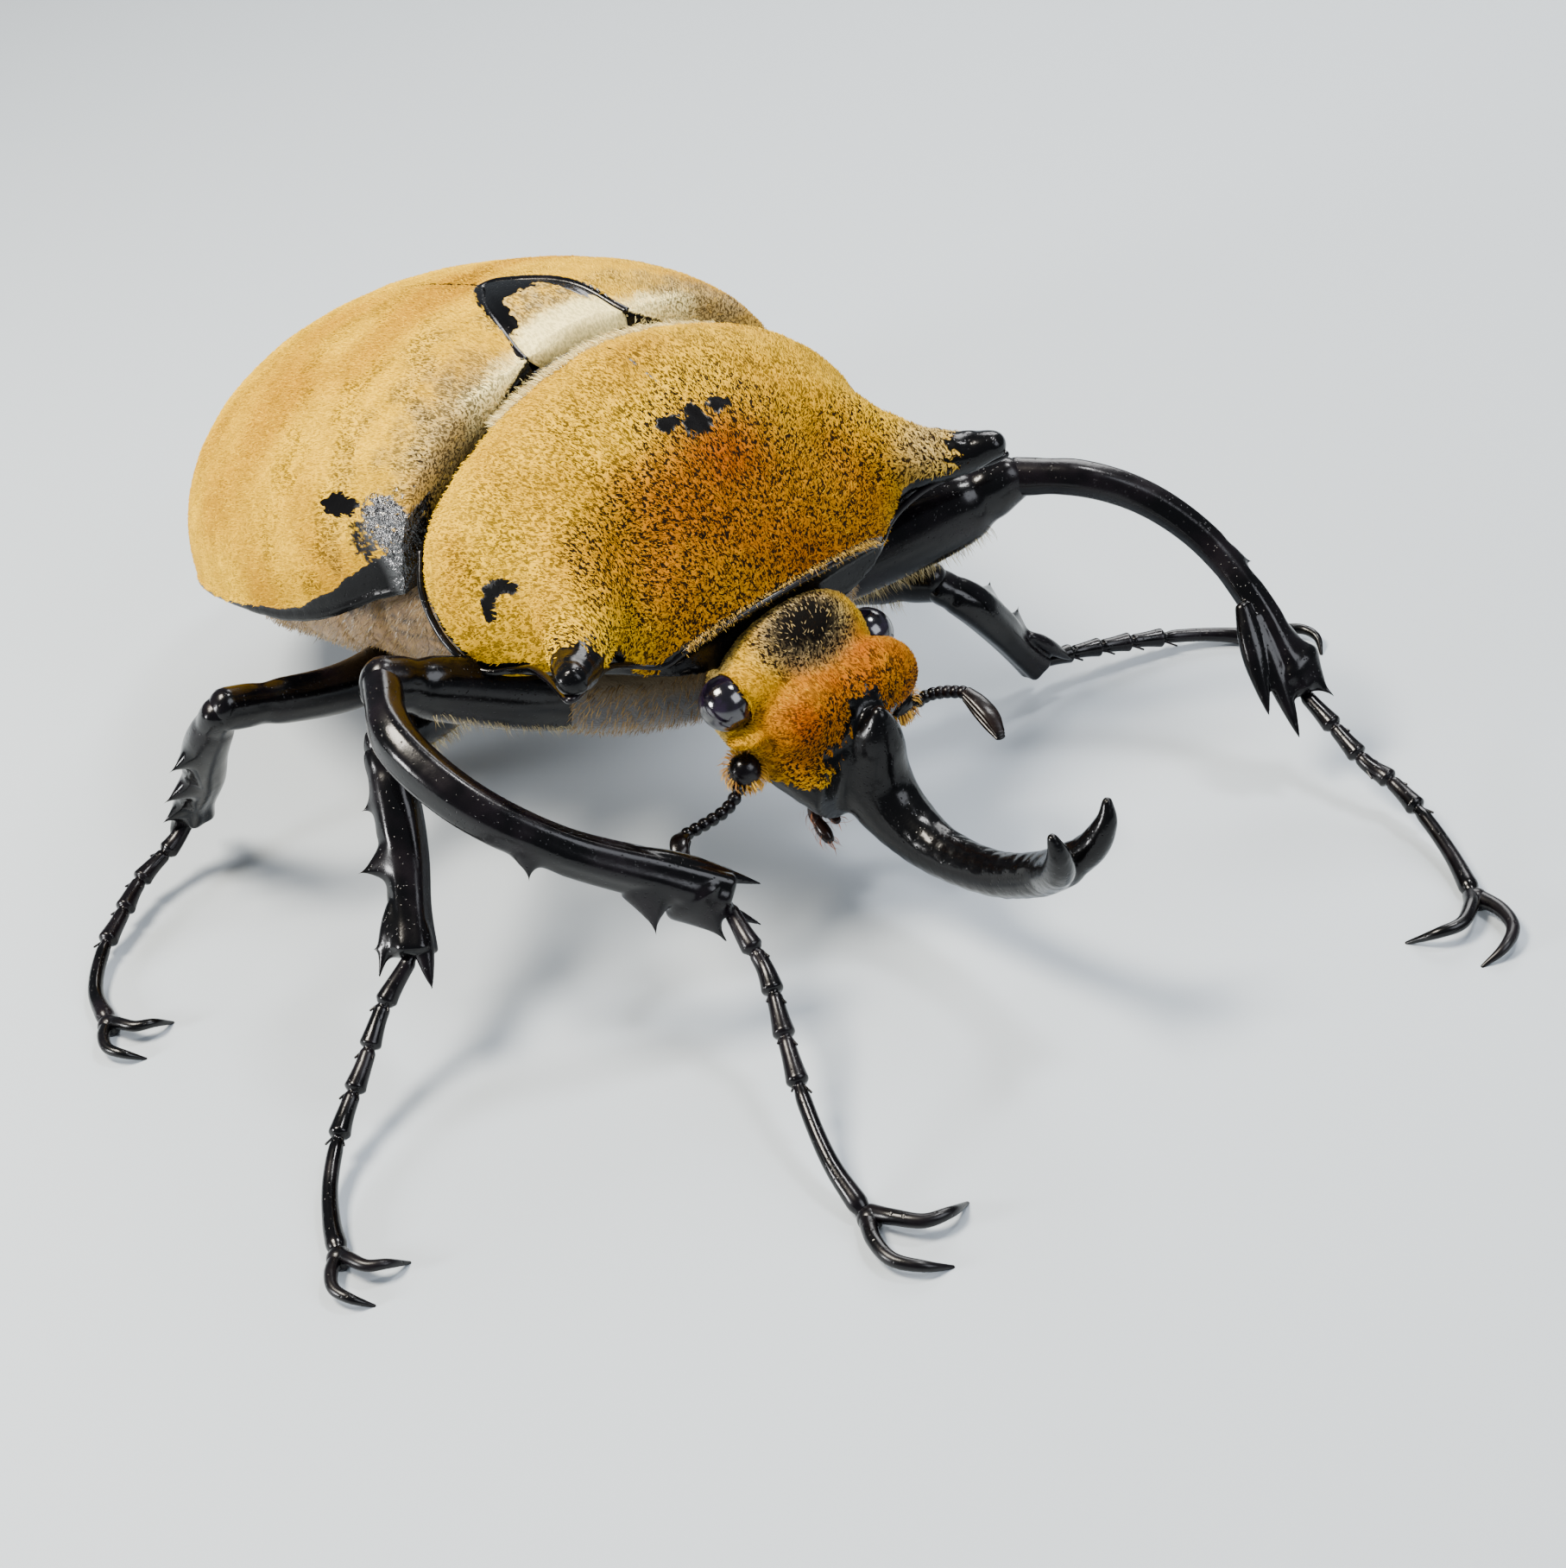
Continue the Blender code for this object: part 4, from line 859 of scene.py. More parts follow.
@dataclass
class Head:
    """Head capsule with its brow swellings, eye ridges, lip edge and the forked horn."""

    sections: tuple = ((-17.5, -22.0, 5.6, 4.6), (-20.0, -22.3, 7.3, 5.8), (-22.5, -22.0, 8.2, 7.2),
                       (-25.0, -23.1, 8.0, 7.1), (-27.2, -25.6, 7.0, 5.2), (-29.2, -27.4, 5.7, 4.2),
                       (-31.0, -28.9, 4.5, 3.4))
    brow: tuple = ((-5.0, -27.9, -23.6, 2.6, 2.9), (-3.4, -28.2, -23.3, 2.95, 3.35),
                   (0, -28.0, -23.9, 2.8, 3.0), (3.4, -28.2, -23.3, 2.95, 3.35),
                   (5.0, -27.9, -23.6, 2.6, 2.9))
    tooth: tuple = ((-31.0, -28.2, 2.6, 3.0), (-31.8, -26.0, 2.3, 2.4), (-32.2, -24.4, 1.7, 1.6),
                    (-32.4, -23.2, 1.0, 1.0))
    horn: tuple = ((-26.5, -25.6, 3.2, 4.9), (-29.6, -29.2, 3.05, 4.4), (-32.6, -32.4, 2.65, 3.15),
                   (-37.6, -34.2, 2.1, 2.15), (-44.0, -33.4, 1.82, 1.87), (-49.1, -31.0, 1.78, 1.78),
                   (-52.3, -28.6, 2.15, 1.66))
    prong: tuple = ((0.5, -51.2, -29.6, 1.55), (1.7, -53.6, -27.2, 1.3), (2.5, -54.6, -24.8, 0.9),
                    (2.9, -54.5, -23.1, 0.42))
    bridge: tuple = ((0, -27.0, -23.0), (6.2, 3.6, 4.0))
    temple: tuple = ((-5.9, -24.6, -20.6), (2.7, 2.7, 2.5))
    cheek: tuple = ((5.2, -25.2, -23.4, 1.2, 0.9), (8.2, -26.5, -23.5, 1.35, 0.62),
                    (8.8, -25.3, -23.9, 0.8, 0.52))
    lip: tuple = ((-4.6, -27.8, -30.4, 0.85, 1.15), (0, -30.4, -32.2, 1.35, 1.25),
                  (4.6, -27.8, -30.4, 0.85, 1.15))
    crown: tuple = (-0.6, -25.6, -16.6)
    socket: float = 2.42
    voxel: float = 0.17

    def marks(self, points: Points) -> Marks:
        """Bare crown spot, black horn and face edges, rust brows."""
        x, y, z = xyz(points)
        wobble = ripple(points, 2.6, 51)
        fine = ripple(points * [1, 0.6, 0.6], 0.6, 55)
        crown = blob(points + 0.12 * wobble[..., None] + 0.2 * fine[..., None], self.crown,
                     (4.1, 2.2, 3.4), 0.45)
        root = np.hypot(np.hypot(x * 0.95, y + 34.0), z + 28.0)
        horn = step(6.0, 4.4, root + 0.3 * wobble + 0.6 * fine) + step(-31.2, -31.8, y + 0.15 * fine)
        horn += step(-30.2, -30.8, y + 0.15 * fine) * step(1.8, 1.4, np.abs(x)) * step(-25.0, -23.6, z)
        low = step(-27.6, -28.9, z + 0.25 * wobble + 0.25 * fine) * step(-25.0, -27.5, y)
        under = step(-28.5, -29.5, z) * 0.6
        bare = np.clip(np.max([np.clip(horn, 0, 1), low, under], axis=0), 0, 1)
        brow = blob(mirrored(points), (3.0, -28.6, -23.4), (5.6, 3.6, 4.6), 0.5)
        rust = np.clip(0.12 + 0.7 * brow + 0.15 * ripple(points, 4.0, 52), 0, 1)
        near = blob(points, self.crown, (4.8, 2.8, 4.0), 0.4)
        soot = np.clip(0.55 + 0.2 * ripple(points, 2.4, 53) + 0.8 * step(10.5, 6.5, root + 0.4 * wobble)
                       + 0.9 * near - 0.15 * brow, 0, 1)
        return {"bare": bare, "rust": rust, "soot": soot, "cream": 0.35 * step(-24.0, -22.2, y),
                "silver": 0.75 * near, "thin": crown,
                "pale": np.clip(0.6 - brow + 0.3 * ripple(points, 5.0, 54), 0, 1)}

    def unwrap(self, points: Points) -> np.ndarray:
        """(angle about the head's long axis, length along it)."""
        x, y, z = xyz(points)
        middle = np.interp(y, [-55, -33, -17], [-31, -31, -23])
        angle = np.arctan2(x, z - middle) / (2 * math.pi) + 0.5
        return np.stack([0.02 + 0.96 * angle, 0.02 + 0.96 * np.clip((y + 56) / 40, 0, 1)], axis=-1)

    def soft(self, points: Points) -> np.ndarray:
        """Weight of the evening out over the brow, the crown and the foot of the horn."""
        crown = blob(points, (0, -26.0, -21.0), (9.0, 5.0, 4.6), 0.3)
        foot = blob(points, (0, -32.0, -27.5), (5.5, 4.4, 5.6), 0.3)
        return np.maximum(crown, foot)

    def shape(self, points: Points) -> Points:
        """Keeps the socket round each eye open and roughens the skin a little."""
        out = points + 0.035 * ripple(points, 1.6, 61)[..., None] * np.array([0, 0, 1.0])
        for side in Side:
            centre = eye_centre(side)
            rel = out - centre
            d = norm(rel, axis=-1, keepdims=True)
            out = np.where(d < self.socket, centre + rel / np.maximum(d, 0.01) * self.socket, out)
        return out

    def build(self) -> Piece:
        """Capsule, ridges and horn melted into one skin."""
        path = smooth_path([(0, *row) for row in self.sections], 60)
        angle = np.linspace(0, 2 * math.pi, 90, endpoint=False)
        rings = []
        for _, y, z, w, h in path:
            x = w * signed_power(np.cos(angle), 0.9)
            lift = h * np.sin(angle)
            rings.append(np.column_stack([x, y - lift * 0.25, z + lift]))
        skins = [Skin(rolled(rings))]
        for side in Side:
            rows = [(*rolled((side.value * x, y, z)), a, b) for x, y, z, a, b in self.cheek]
            skins.append(rod(rows, count=30))
        skins.append(rod(list(self.lip), count=40))
        skins.append(rod([(0, *row) for row in self.horn], count=90, sides=48))
        skins.append(rod(list(self.brow), count=60, sides=48))
        skins.append(ball(rolled(self.bridge[0]), self.bridge[1], 40, 60))
        skins.append(ball(*self.temple, 30, 40))
        skins.append(rod([(0, *row) for row in self.tooth], up=(0, 1, 0), count=40, sides=30))
        for side in Side:
            rows = [(side.value * x, y, z, r, r) for x, y, z, r in self.prong]
            skins.append(rod(rows, up=(0, 1, 0.4), count=30, sides=28))
        made = fuse("head_shell", skins, self.voxel, 6, self.marks, self.unwrap, self.shape, self.soft, 90)
        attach(made, "root")
        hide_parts("head", "head_horn")
        return made


@dataclass
class Face:
    """Eyes, mouthparts and feelers."""

    eye_radius: float = 2.28
    muzzle: tuple = ((0, -24.6, -31.8), (3.7, 2.8, 2.3))
    palps: tuple = (((2.4, -26.0, -31.6, 0.7), (3.3, -26.4, -34.2, 0.55), (3.6, -28.2, -35.6, 0.6)),
                    ((1.1, -25.0, -32.2, 0.55), (1.4, -25.3, -34.6, 0.45), (1.5, -26.8, -35.6, 0.5)))
    stalks: dict = field(default_factory=lambda: {
        Side.RIGHT: ((-8.9, -25.6, -26.8), (-10.3, -26.0, -28.2), (-11.8, -26.2, -28.9),
                     (-13.8, -26.0, -29.2), (-15.6, -25.9, -29.2)),
        Side.LEFT: ((6.6, -26.6, -28.2), (7.8, -27.3, -28.7), (9.2, -27.6, -28.5),
                    (10.2, -28.8, -28.2), (10.9, -30.0, -28.1))})
    clubs: dict = field(default_factory=lambda: {
        Side.RIGHT: ((-16.0, -26.0, -29.3, 0.6, 0.7), (-16.8, -26.4, -29.4, 0.8, 1.1),
                     (-17.4, -27.2, -29.8, 0.8, 1.1), (-17.5, -28.0, -30.4, 0.5, 0.6)),
        Side.LEFT: ((11.0, -30.4, -28.2, 0.6, 0.7), (11.0, -31.8, -28.8, 0.8, 1.1),
                    (10.8, -33.4, -29.4, 0.8, 1.1), (10.4, -34.7, -30.0, 0.5, 0.6))})

    def eyes(self) -> list[Piece]:
        """Two glossy many-faceted balls."""
        made = []
        for side in Side:
            dome = ball(eye_centre(side), (self.eye_radius,) * 3, 60, 90)
            piece = make_mesh(f"eye_{side.word}_dome", [dome])
            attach(piece, "root")
            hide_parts(f"eye_{side.word}")
            made.append(piece)
        return made

    def mouth(self) -> Piece:
        """Upper lip ball and the two pairs of palps, each of three joints."""

        def beaded(along: np.ndarray, around: np.ndarray) -> np.ndarray:
            """Thick joints with waists between them."""
            return 0.8 + 0.24 * np.abs(np.sin(along * 3 * math.pi)) ** 0.7 + 0 * around

        skins = [ball(*self.muzzle, 40, 50)]
        for side in Side:
            for palp in self.palps:
                rows = [(side.value * x, y, z, r, r) for x, y, z, r in palp]
                skins.append(rod(rows, up=(1, 0, 0), count=50, sides=20, profile=beaded))
        made = make_mesh("mouth_and_palps", skins)
        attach(made, "root")
        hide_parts("mouthparts")
        return made

    def feelers(self) -> list[Piece]:
        """Round first joint, a stalk of beads and the leaved club of each feeler."""
        made = []
        for side in Side:
            rows = self.stalks[side]
            skins = [ball(rows[0], (1.45, 1.4, 1.35), 30, 36)]
            skins.append(rod([(*p, 0.34, 0.34) for p in rows], count=30))
            skins += [ball(bead, (0.58, 0.56, 0.56), 16, 20) for bead in smooth_path(rows, 10)[2:]]
            stalk = make_mesh(f"feeler_{side.word}", skins)
            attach(stalk, "root")
            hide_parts(f"antenna_{side.word}")
            leaves = []
            for shift in (-0.5, 0.0, 0.5):
                rows = [(x, y, z + shift * h, w * 0.9, h * 0.25) for x, y, z, w, h in self.clubs[side]]
                leaves.append(rod(rows, count=30, sides=24))
            club = make_mesh(f"club_{side.word}", leaves)
            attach(club, "root")
            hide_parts(f"antenna_club_{side.word}")
            made += [stalk, club]
        return made


@dataclass
class Trunk:
    """Hairy fore breast, hind breast and belly under the shields."""

    square: float = 0.8
    segments: dict = field(default_factory=lambda: {
        "fore_breast": ((-19.5, -22.6, 7.3, 3.5), (-17, -23.0, 10.9, 4.5), (-12, -23.4, 15.4, 5.5),
                        (-7, -23.2, 16.7, 5.9), (-3.2, -22.0, 14.9, 6.3)),
        "hind_breast": ((-1.6, -17.5, 16.8, 10.2), (4, -18.4, 18.5, 10.9), (12, -21.0, 20.1, 10.1),
                        (20, -23.4, 20.4, 9.1), (23.4, -24.4, 20.3, 8.7)),
        "abdomen": ((24.1, -24.6, 20.3, 8.5), (30, -26.2, 20.1, 8.5), (37, -28.2, 18.7, 8.1),
                    (44, -30.6, 15.3, 6.7), (49, -32.2, 11.3, 4.9), (52.4, -33.2, 7.3, 3.4),
                    (54.2, -33.8, 3.6, 1.8))})
    hips: tuple = (("fore_breast", (6.6, -9.8, -26.4), (5.1, 3.1, 2.8)),
                   ("hind_breast", (6.4, 6.2, -28.6), (4.9, 3.3, 2.3)),
                   ("hind_breast", (8.6, 18.4, -29.8), (7.9, 3.3, 1.9)))
    folds: tuple = (27.0, 31.0, 35.0, 39.0, 43.5, 48.5)
    plates: tuple = (2.5, 9.0, 15.5)
    # Height and slope of each painted shade line in the side folds.
    crease_shade_lines: tuple = ((-15.2, -0.16), (-17.6, 0.12), (-19.6, -0.05), (-22.0, 0.06))

    def marks(self, points: Points) -> Marks:
        """Bare dark plates low in the middle, pale down on the sides, painted shade low in front and in the
        folds.
        """
        x, y, z = xyz(points)
        low = step(-27.0, -31.0, z)
        middle = step(12.0, 6.0, np.abs(x))
        wander = 0.35 * ripple(points, 6.0, 73)
        # Painted shade: thin dark lines along the side folds, which have no relief of their own.
        crease = np.zeros_like(x)
        for height, slope in self.crease_shade_lines:
            crease = np.maximum(crease, bell(z - height - slope * y + wander, 0.2))
        crease *= step(11.0, 13.0, np.abs(x)) * step(26.0, 18.0, y)
        coxa_and_shade = blob(mirrored(points), (8.5, -11.0, -25.0), (6.2, 5.4, 4.6), 0.5)
        # Painted shade: the lower front of the fore breast is painted as black bare plate, joined to the bare
        # hip joints.
        coxa_and_shade = np.maximum(coxa_and_shade, step(-21.6, -23.2, z + 0.4 * wander) * step(-4.0, -7.0, y))
        # Painted shade: darker down low on the front of the fore breast, under the fore shield.
        dusk = step(-17.0, -21.0, z) * step(-8.0, -12.0, y)
        bare = np.clip(np.maximum(0.75 * low * middle + 0.15 * ripple(points, 5.0, 71), coxa_and_shade), 0, 1)
        return {"bare": bare, "crease": crease, "dusk": dusk}

    def build(self) -> list[Piece]:
        """One folded skin for each of the three parts."""
        made = []
        angle = np.linspace(0, 2 * math.pi, 200, endpoint=False)
        for name, rows in self.segments.items():
            rings = []
            for _, y, z, w, h in smooth_path([(0, *row) for row in rows], 120):
                across = signed_power(np.cos(angle), self.square)
                rise = signed_power(np.sin(angle), self.square)
                rings.append(np.column_stack([w * across, np.full_like(angle, y), z + h * rise]))
            points = np.array(rings)
            dent = np.zeros(points.shape[:-1])
            for fold in self.folds if name == "abdomen" else self.plates:
                dent += 0.45 * bell(points[..., 1] - fold, 0.55)
            dent += 0.12 * ripple(points, 4.0, 72)
            away = points - points.mean(axis=1, keepdims=True)
            points -= away / norm(away, axis=-1, keepdims=True) * np.maximum(dent, 0)[..., None]
            skins = [Skin(points)]
            for owner, (x, y, z), size in self.hips:
                if owner == name:
                    skins += [ball((side.value * x, y, z), size, 30, 40) for side in Side]
            piece = make_mesh(f"{name}_skin", skins, self.marks)
            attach(piece, "root")
            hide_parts(name)
            made.append(piece)
        return made


def grounded(skins: list) -> list:
    """The skins with what lies under the floor raised to it, so that they stand on small flats."""
    for skin in skins:
        skin.points[..., 2] = np.maximum(skin.points[..., 2], -FLOOR_DROP)
    return skins


@dataclass
class Leg:
    """One leg: thigh, toothed shin, five-jointed foot and a pair of claws.

    Attributes:
        name: as fore_right.
        claw: scale of the claws.
        spur: scale of the end spurs.
        thigh, shin: centre line with half widths.
        teeth, spurs: tips.
        foot: centre line.
        joints: ends of the foot's five joints, as shares of its length.
    """

    name: str
    claw: float
    spur: float
    thigh: tuple
    shin: tuple
    teeth: tuple
    spurs: tuple
    foot: tuple
    joints: tuple = (0.0, 0.16, 0.3, 0.44, 0.59, 1.0)

    @property
    def side(self) -> int:
        """Sign of X."""
        return 1 if self.thigh[0][0] > 0 else -1

    def own(self, made: Piece, part: str) -> Piece:
        """Attaches a piece of the leg to the root and hides the solid that it stands in for."""
        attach(made, "root")
        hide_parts(f"{self.name}_{part}")
        return made

    def femur(self) -> Piece:
        """Thigh with a swollen knee."""
        rows = [(x, y, z, r * 0.81, r * 1.06) for x, y, z, r in self.thigh]

        def knee(s: np.ndarray, angle: np.ndarray) -> np.ndarray:
            """1 - 0.1 exp(-((s - 0.87) / 0.04)^2), the neck before the knee, and faint edges."""
            return 1 - 0.1 * bell(s - 0.87, 0.04) + 0.02 * np.sin(3 * angle) * s

        thigh = rod(rows, count=110, sides=64, profile=knee)
        return self.own(make_mesh(f"{self.name}_thigh", [thigh]), "femur")

    def tibia(self) -> Piece:
        """Ridged shin whose teeth and spurs melt into it."""
        rows = [(x, y, z, r * 0.98, r * 0.84) for x, y, z, r in self.shin]
        path = smooth_path(rows, 41)
        chord = path[-1, :3] - path[0, :3]
        outward = np.array(self.teeth).mean(axis=0) - path[26, :3]
        up = np.cross(chord, outward)

        def ridges(s: np.ndarray, angle: np.ndarray) -> np.ndarray:
            """Long ridges, stronger to the foot, 1 + 0.045 (0.3 + s) cos(6 a), and a neck below the knee."""
            return 1 + 0.045 * (0.3 + s) * np.cos(6 * angle) - 0.05 * bell(s - 0.09, 0.035)

        skins = [rod(rows, up=tuple(up), count=90, sides=56, profile=ridges, cap=0.3)]
        feet = []
        for tip in self.teeth:
            near = int(np.argmin(norm(path[:-2, :3] - tip, axis=1)))
            root = path[max(near - 2, 0), :3]
            start = root + (np.array(tip) - root) * 0.3
            length = norm(np.array(tip) - start)
            skins.append(cone(start, tip, 0.66 * length, power=1.2, sides=32, wide=chord, flat=0.6))
            feet.append(start + (np.array(tip) - start) * 0.35)
        for tip in self.spurs:
            tip = np.array(tip, float)
            start = path[-12, :3] + (tip - path[-4, :3]) * 0.42 + np.array([0, 0, 0.9])
            leaf = zip((0.0, 0.25, 0.5, 0.78, 1.0), (0.7, 1.05, 1.05, 0.6, 0.1))
            rows = [(*(start + (tip - start) * s), r * self.spur, 0.8 * r * self.spur) for s, r in leaf]
            skins.append(rod(rows, count=30, sides=24))

        def ease(points: Points) -> np.ndarray:
            """Weight of the flares at the teeth's feet."""
            return np.max([blob(points, foot, (2.0, 2.0, 2.0), 0.5) for foot in feet], axis=0)

        def unwrap(points: Points) -> np.ndarray:
            """(share along the chord, angle about it)."""
            axis = chord / norm(chord)
            rel = points - path[0, :3]
            a = up / norm(up)
            angle = np.arctan2(rel @ a, rel @ np.cross(axis, a)) / (2 * math.pi) + 0.5
            share = np.clip(rel @ axis / norm(chord), 0, 1)
            return np.stack([share * 0.96 + 0.02, 0.02 + 0.96 * angle], axis=-1)

        made = fuse(f"{self.name}_shin", skins, 0.14, 4, lambda points: {}, unwrap, ease=ease, rounds=60)
        return self.own(made, "tibia")

    def tarsus(self) -> Piece:
        """Five joints, each a bell that widens to its end, with a pair of bristles under each."""
        rows = [(*p, 0.72, 0.72) for p in self.foot]
        joints = self.joints

        def bells(s: np.ndarray, angle: np.ndarray) -> np.ndarray:
            """0.9 + 0.42 share^2 along a joint, 0.85 + 0.4 share^3 along the last, pinched at both ends."""
            share = np.zeros_like(s)
            last = np.zeros_like(s)
            for a, b in zip(joints[:-1], joints[1:]):
                inside = (s >= a) & (s <= b)
                share = np.where(inside, (s - a) / (b - a), share)
                last = np.where(inside, float(b == 1.0), last)
            grow = np.where(last > 0, 0.85 + 0.4 * share**3, 0.9 + 0.42 * share**2)
            pinch = 1 - 0.28 * bell(share, 0.07) - 0.3 * bell(1 - share, 0.05)
            return grow * pinch + 0 * angle

        skins = [rod(rows, up=(self.side, 0, 1), count=220, sides=28, profile=bells)]
        path = smooth_path(rows, 61)
        for share in joints[1:-1]:
            at = path[int(share * 60), :3]
            ahead = path[int(share * 60) + 2, :3] - at
            ahead /= norm(ahead)
            for turn in (-1, 1):
                tip = at + ahead * 1.4 + [turn * 0.85, turn * 0.85, -0.3]
                skins.append(cone(at - ahead * 0.5, tip, 0.26, sides=10))
                tip = at + ahead * 1.1 + [turn * 0.45, -turn * 0.6, 0.35]
                skins.append(cone(at - ahead * 0.4, tip, 0.16, sides=8))
        return self.own(make_mesh(f"{self.name}_foot", grounded(skins)), "tarsus")

    def claws(self) -> Piece:
        """Two hooked claws on a small hub."""
        plans = (((0.6, 0.3, 0.2, 0.7), (2.4, 1.1, 0.7, 0.62), (4.2, 2.6, 0.8, 0.55), (4.5, 4.7, 0.6, 0.44),
                  (3.4, 6.8, -0.7, 0.16)),
                 ((0.8, -0.2, 0.1, 0.7), (3.2, -1.1, 0.4, 0.62), (5.6, -1.1, 0.4, 0.55),
                  (7.4, 0.4, 0.2, 0.44), (8.0, 2.4, -0.7, 0.16)))
        foot = np.array(self.foot[-1], float)
        ahead = foot - self.foot[-2]
        ahead[2] = 0
        ahead /= norm(ahead)
        inward = np.array([-ahead[1], ahead[0], 0]) * -self.side
        skins = [ball(foot + ahead * 0.9 * self.claw, (1.0, 1.0, 0.95), 24, 30)]
        for plan in plans:
            rows = []
            for forth, across, rise, radius in plan:
                point = foot + (ahead * forth + inward * across) * self.claw + [0, 0, rise]
                rows.append((*point, *(2 * [radius * (0.5 + 0.5 * self.claw)])))
            skins.append(rod(rows, count=50, sides=22))
        return self.own(make_mesh(f"{self.name}_hooks", grounded(skins)), "claws")

    def build(self) -> dict[str, Piece]:
        """The four pieces by name."""
        return {"femur": self.femur(), "tibia": self.tibia(), "tarsus": self.tarsus(), "claws": self.claws()}


